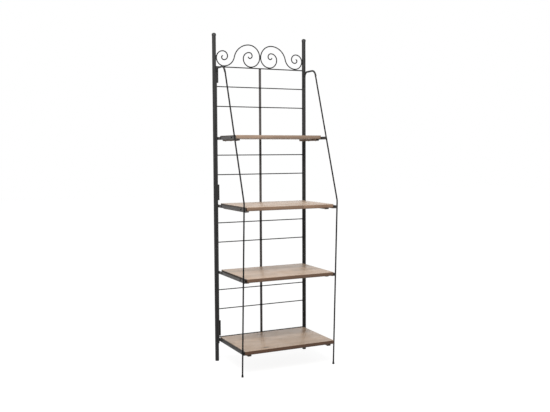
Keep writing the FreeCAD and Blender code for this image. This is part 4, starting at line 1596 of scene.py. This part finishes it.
@dataclass
class Studio:
    """A pale floor under white, a soft lamp and the camera. Angles are in degrees and powers in watts."""

    floor_size: float = 30.0
    floor_grey: float = 0.15
    floor_white: float = 0.25
    floor_lift: float = 0.9
    floor_roughness: float = 0.9
    floor_grain: Span = (0.985, 1.0)
    sky: float = 0.42
    key_place: Vector = Vector((-1.1, -1.8, 2.7))
    key_aim: Vector = Vector((0, 0, 1.1))
    key_size: float = 1.6
    key_power: float = 70.0
    eye: Vector = Vector((-1.7484, -3.6165, 1.1632))
    azimuth: float = 25.754
    look_down: float = 4.2204
    roll: float = -0.2611
    focal: float = 742.53
    picture_width: float = 550.0
    sensor: float = 36.0

    def seen_straight(self, graph: Graph) -> Socket:
        """Tell the rays that show a thing from those that only light the rack.

        Args:
            graph: the material's or the world's graph.

        Returns:
            1 for camera, glossy and transmission rays, and 0 for all others.
        """
        path = graph.add("LightPath").outputs
        mirror = graph.maths("MAXIMUM", path["Is Glossy Ray"], path["Is Transmission Ray"])
        return graph.maths("MAXIMUM", path["Is Camera Ray"], mirror)

    def set_world(self) -> None:
        """Light the rack evenly from all round, against white."""
        world = bpy.data.worlds.new("studio")
        bpy.context.scene.world = world
        world.use_nodes = True
        graph = Graph(world.node_tree)
        ground = world.node_tree.nodes["Background"]
        straight = self.seen_straight(graph)
        light = graph.add("MapRange", Value=straight, To_Min=self.sky, To_Max=1.0).outputs[0]
        graph.put(ground.inputs["Color"], (1.0, 1.0, 1.0))
        graph.put(ground.inputs["Strength"], light)

    def lay_floor(self) -> None:
        """Lay the floor: white to the eye, with the rack's shadow, but grey to the light it throws back."""
        clear_bench()
        bpy.ops.mesh.primitive_plane_add(size=self.floor_size, location=(0, 0, 0))
        floor = bpy.context.object
        floor.name = "studio_floor"
        material, graph, shader, place = new_finish(
            "pale_floor", {"Roughness": self.floor_roughness, "Specular IOR Level": 0.0})
        straight = self.seen_straight(graph)
        grain = graph.spread(graph.noise(place, scale=3.0, detail=3.0), *CLOUDED, *self.floor_grain)
        shade = graph.add(
            "MapRange", Value=straight, To_Min=self.floor_grey, To_Max=self.floor_white).outputs[0]
        graph.put(shader["Base Color"], graph.grey(graph.scaled(shade, grain)))
        graph.put(shader["Emission Color"], (1.0, 1.0, 1.0))
        graph.put(shader["Emission Strength"], graph.scaled(straight, self.floor_lift))
        floor.data.materials.append(material)

    def hang_lamp(self) -> None:
        """Hang the square soft lamp."""
        lamp = bpy.data.lights.new("key_lamp", "AREA")
        lamp.shape, lamp.size, lamp.energy = "SQUARE", self.key_size, self.key_power
        holder = bpy.data.objects.new("key_lamp", lamp)
        aimed = (self.key_aim - self.key_place).to_track_quat("-Z", "Y").to_matrix().to_4x4()
        holder.matrix_world = Matrix.Translation(self.key_place) @ aimed
        bpy.context.scene.collection.objects.link(holder)

    def set_camera(self) -> None:
        """Stand the camera at the front left, a little lower than the top shelf."""
        turn, tip, roll = (math.radians(angle) for angle in (self.azimuth, self.look_down, self.roll))
        forward = Vector((math.sin(turn) * math.cos(tip), math.cos(turn) * math.cos(tip), -math.sin(tip)))
        level = forward.cross(UP).normalized()
        upright = level.cross(forward)
        right = math.cos(roll) * level + math.sin(roll) * upright
        top = math.cos(roll) * upright - math.sin(roll) * level
        stand = Matrix((right, top, -forward)).transposed().to_4x4()
        data = bpy.data.cameras.new("camera")
        data.sensor_width = self.sensor
        data.lens = self.focal * self.sensor / self.picture_width
        camera = bpy.data.objects.new("camera", data)
        camera.matrix_world = Matrix.Translation(self.eye) @ stand
        bpy.context.scene.collection.objects.link(camera)
        bpy.context.scene.camera = camera

    def build(self) -> None:
        """Set up the studio."""
        bpy.context.scene.view_settings.view_transform = "Standard"
        self.set_world()
        self.lay_floor()
        self.hang_lamp()
        self.set_camera()


def main() -> None:
    """Build every sub-assembly in order, then the studio."""
    logging.basicConfig(level=logging.INFO, format="%(name)s: %(message)s")
    finishes = Finishes()
    assemblies = [BackFrame(finishes), *(SideFrame(finishes, side) for side in Side)]
    # The edge tints carry painted shade, deepest on the lowest shelf, and painted sheen, palest and greyest
    # on the highest.
    assemblies += [Shelf(finishes, 1, (0.235, 0.13, 0.06), corner_round=2.5 * MM),
                   Shelf(finishes, 2, (0.30, 0.225, 0.18)),
                   Shelf(finishes, 3, (0.57, 0.49, 0.45)),
                   Shelf(finishes, 4, (0.68, 0.655, 0.67))]
    for assembly in assemblies:
        for piece in assembly.build():
            LOG.info("%s: %s, %d faces", type(assembly).__name__, piece.name, len(piece.data.polygons))
    Studio().build()


if __name__ == "__main__":
    main()
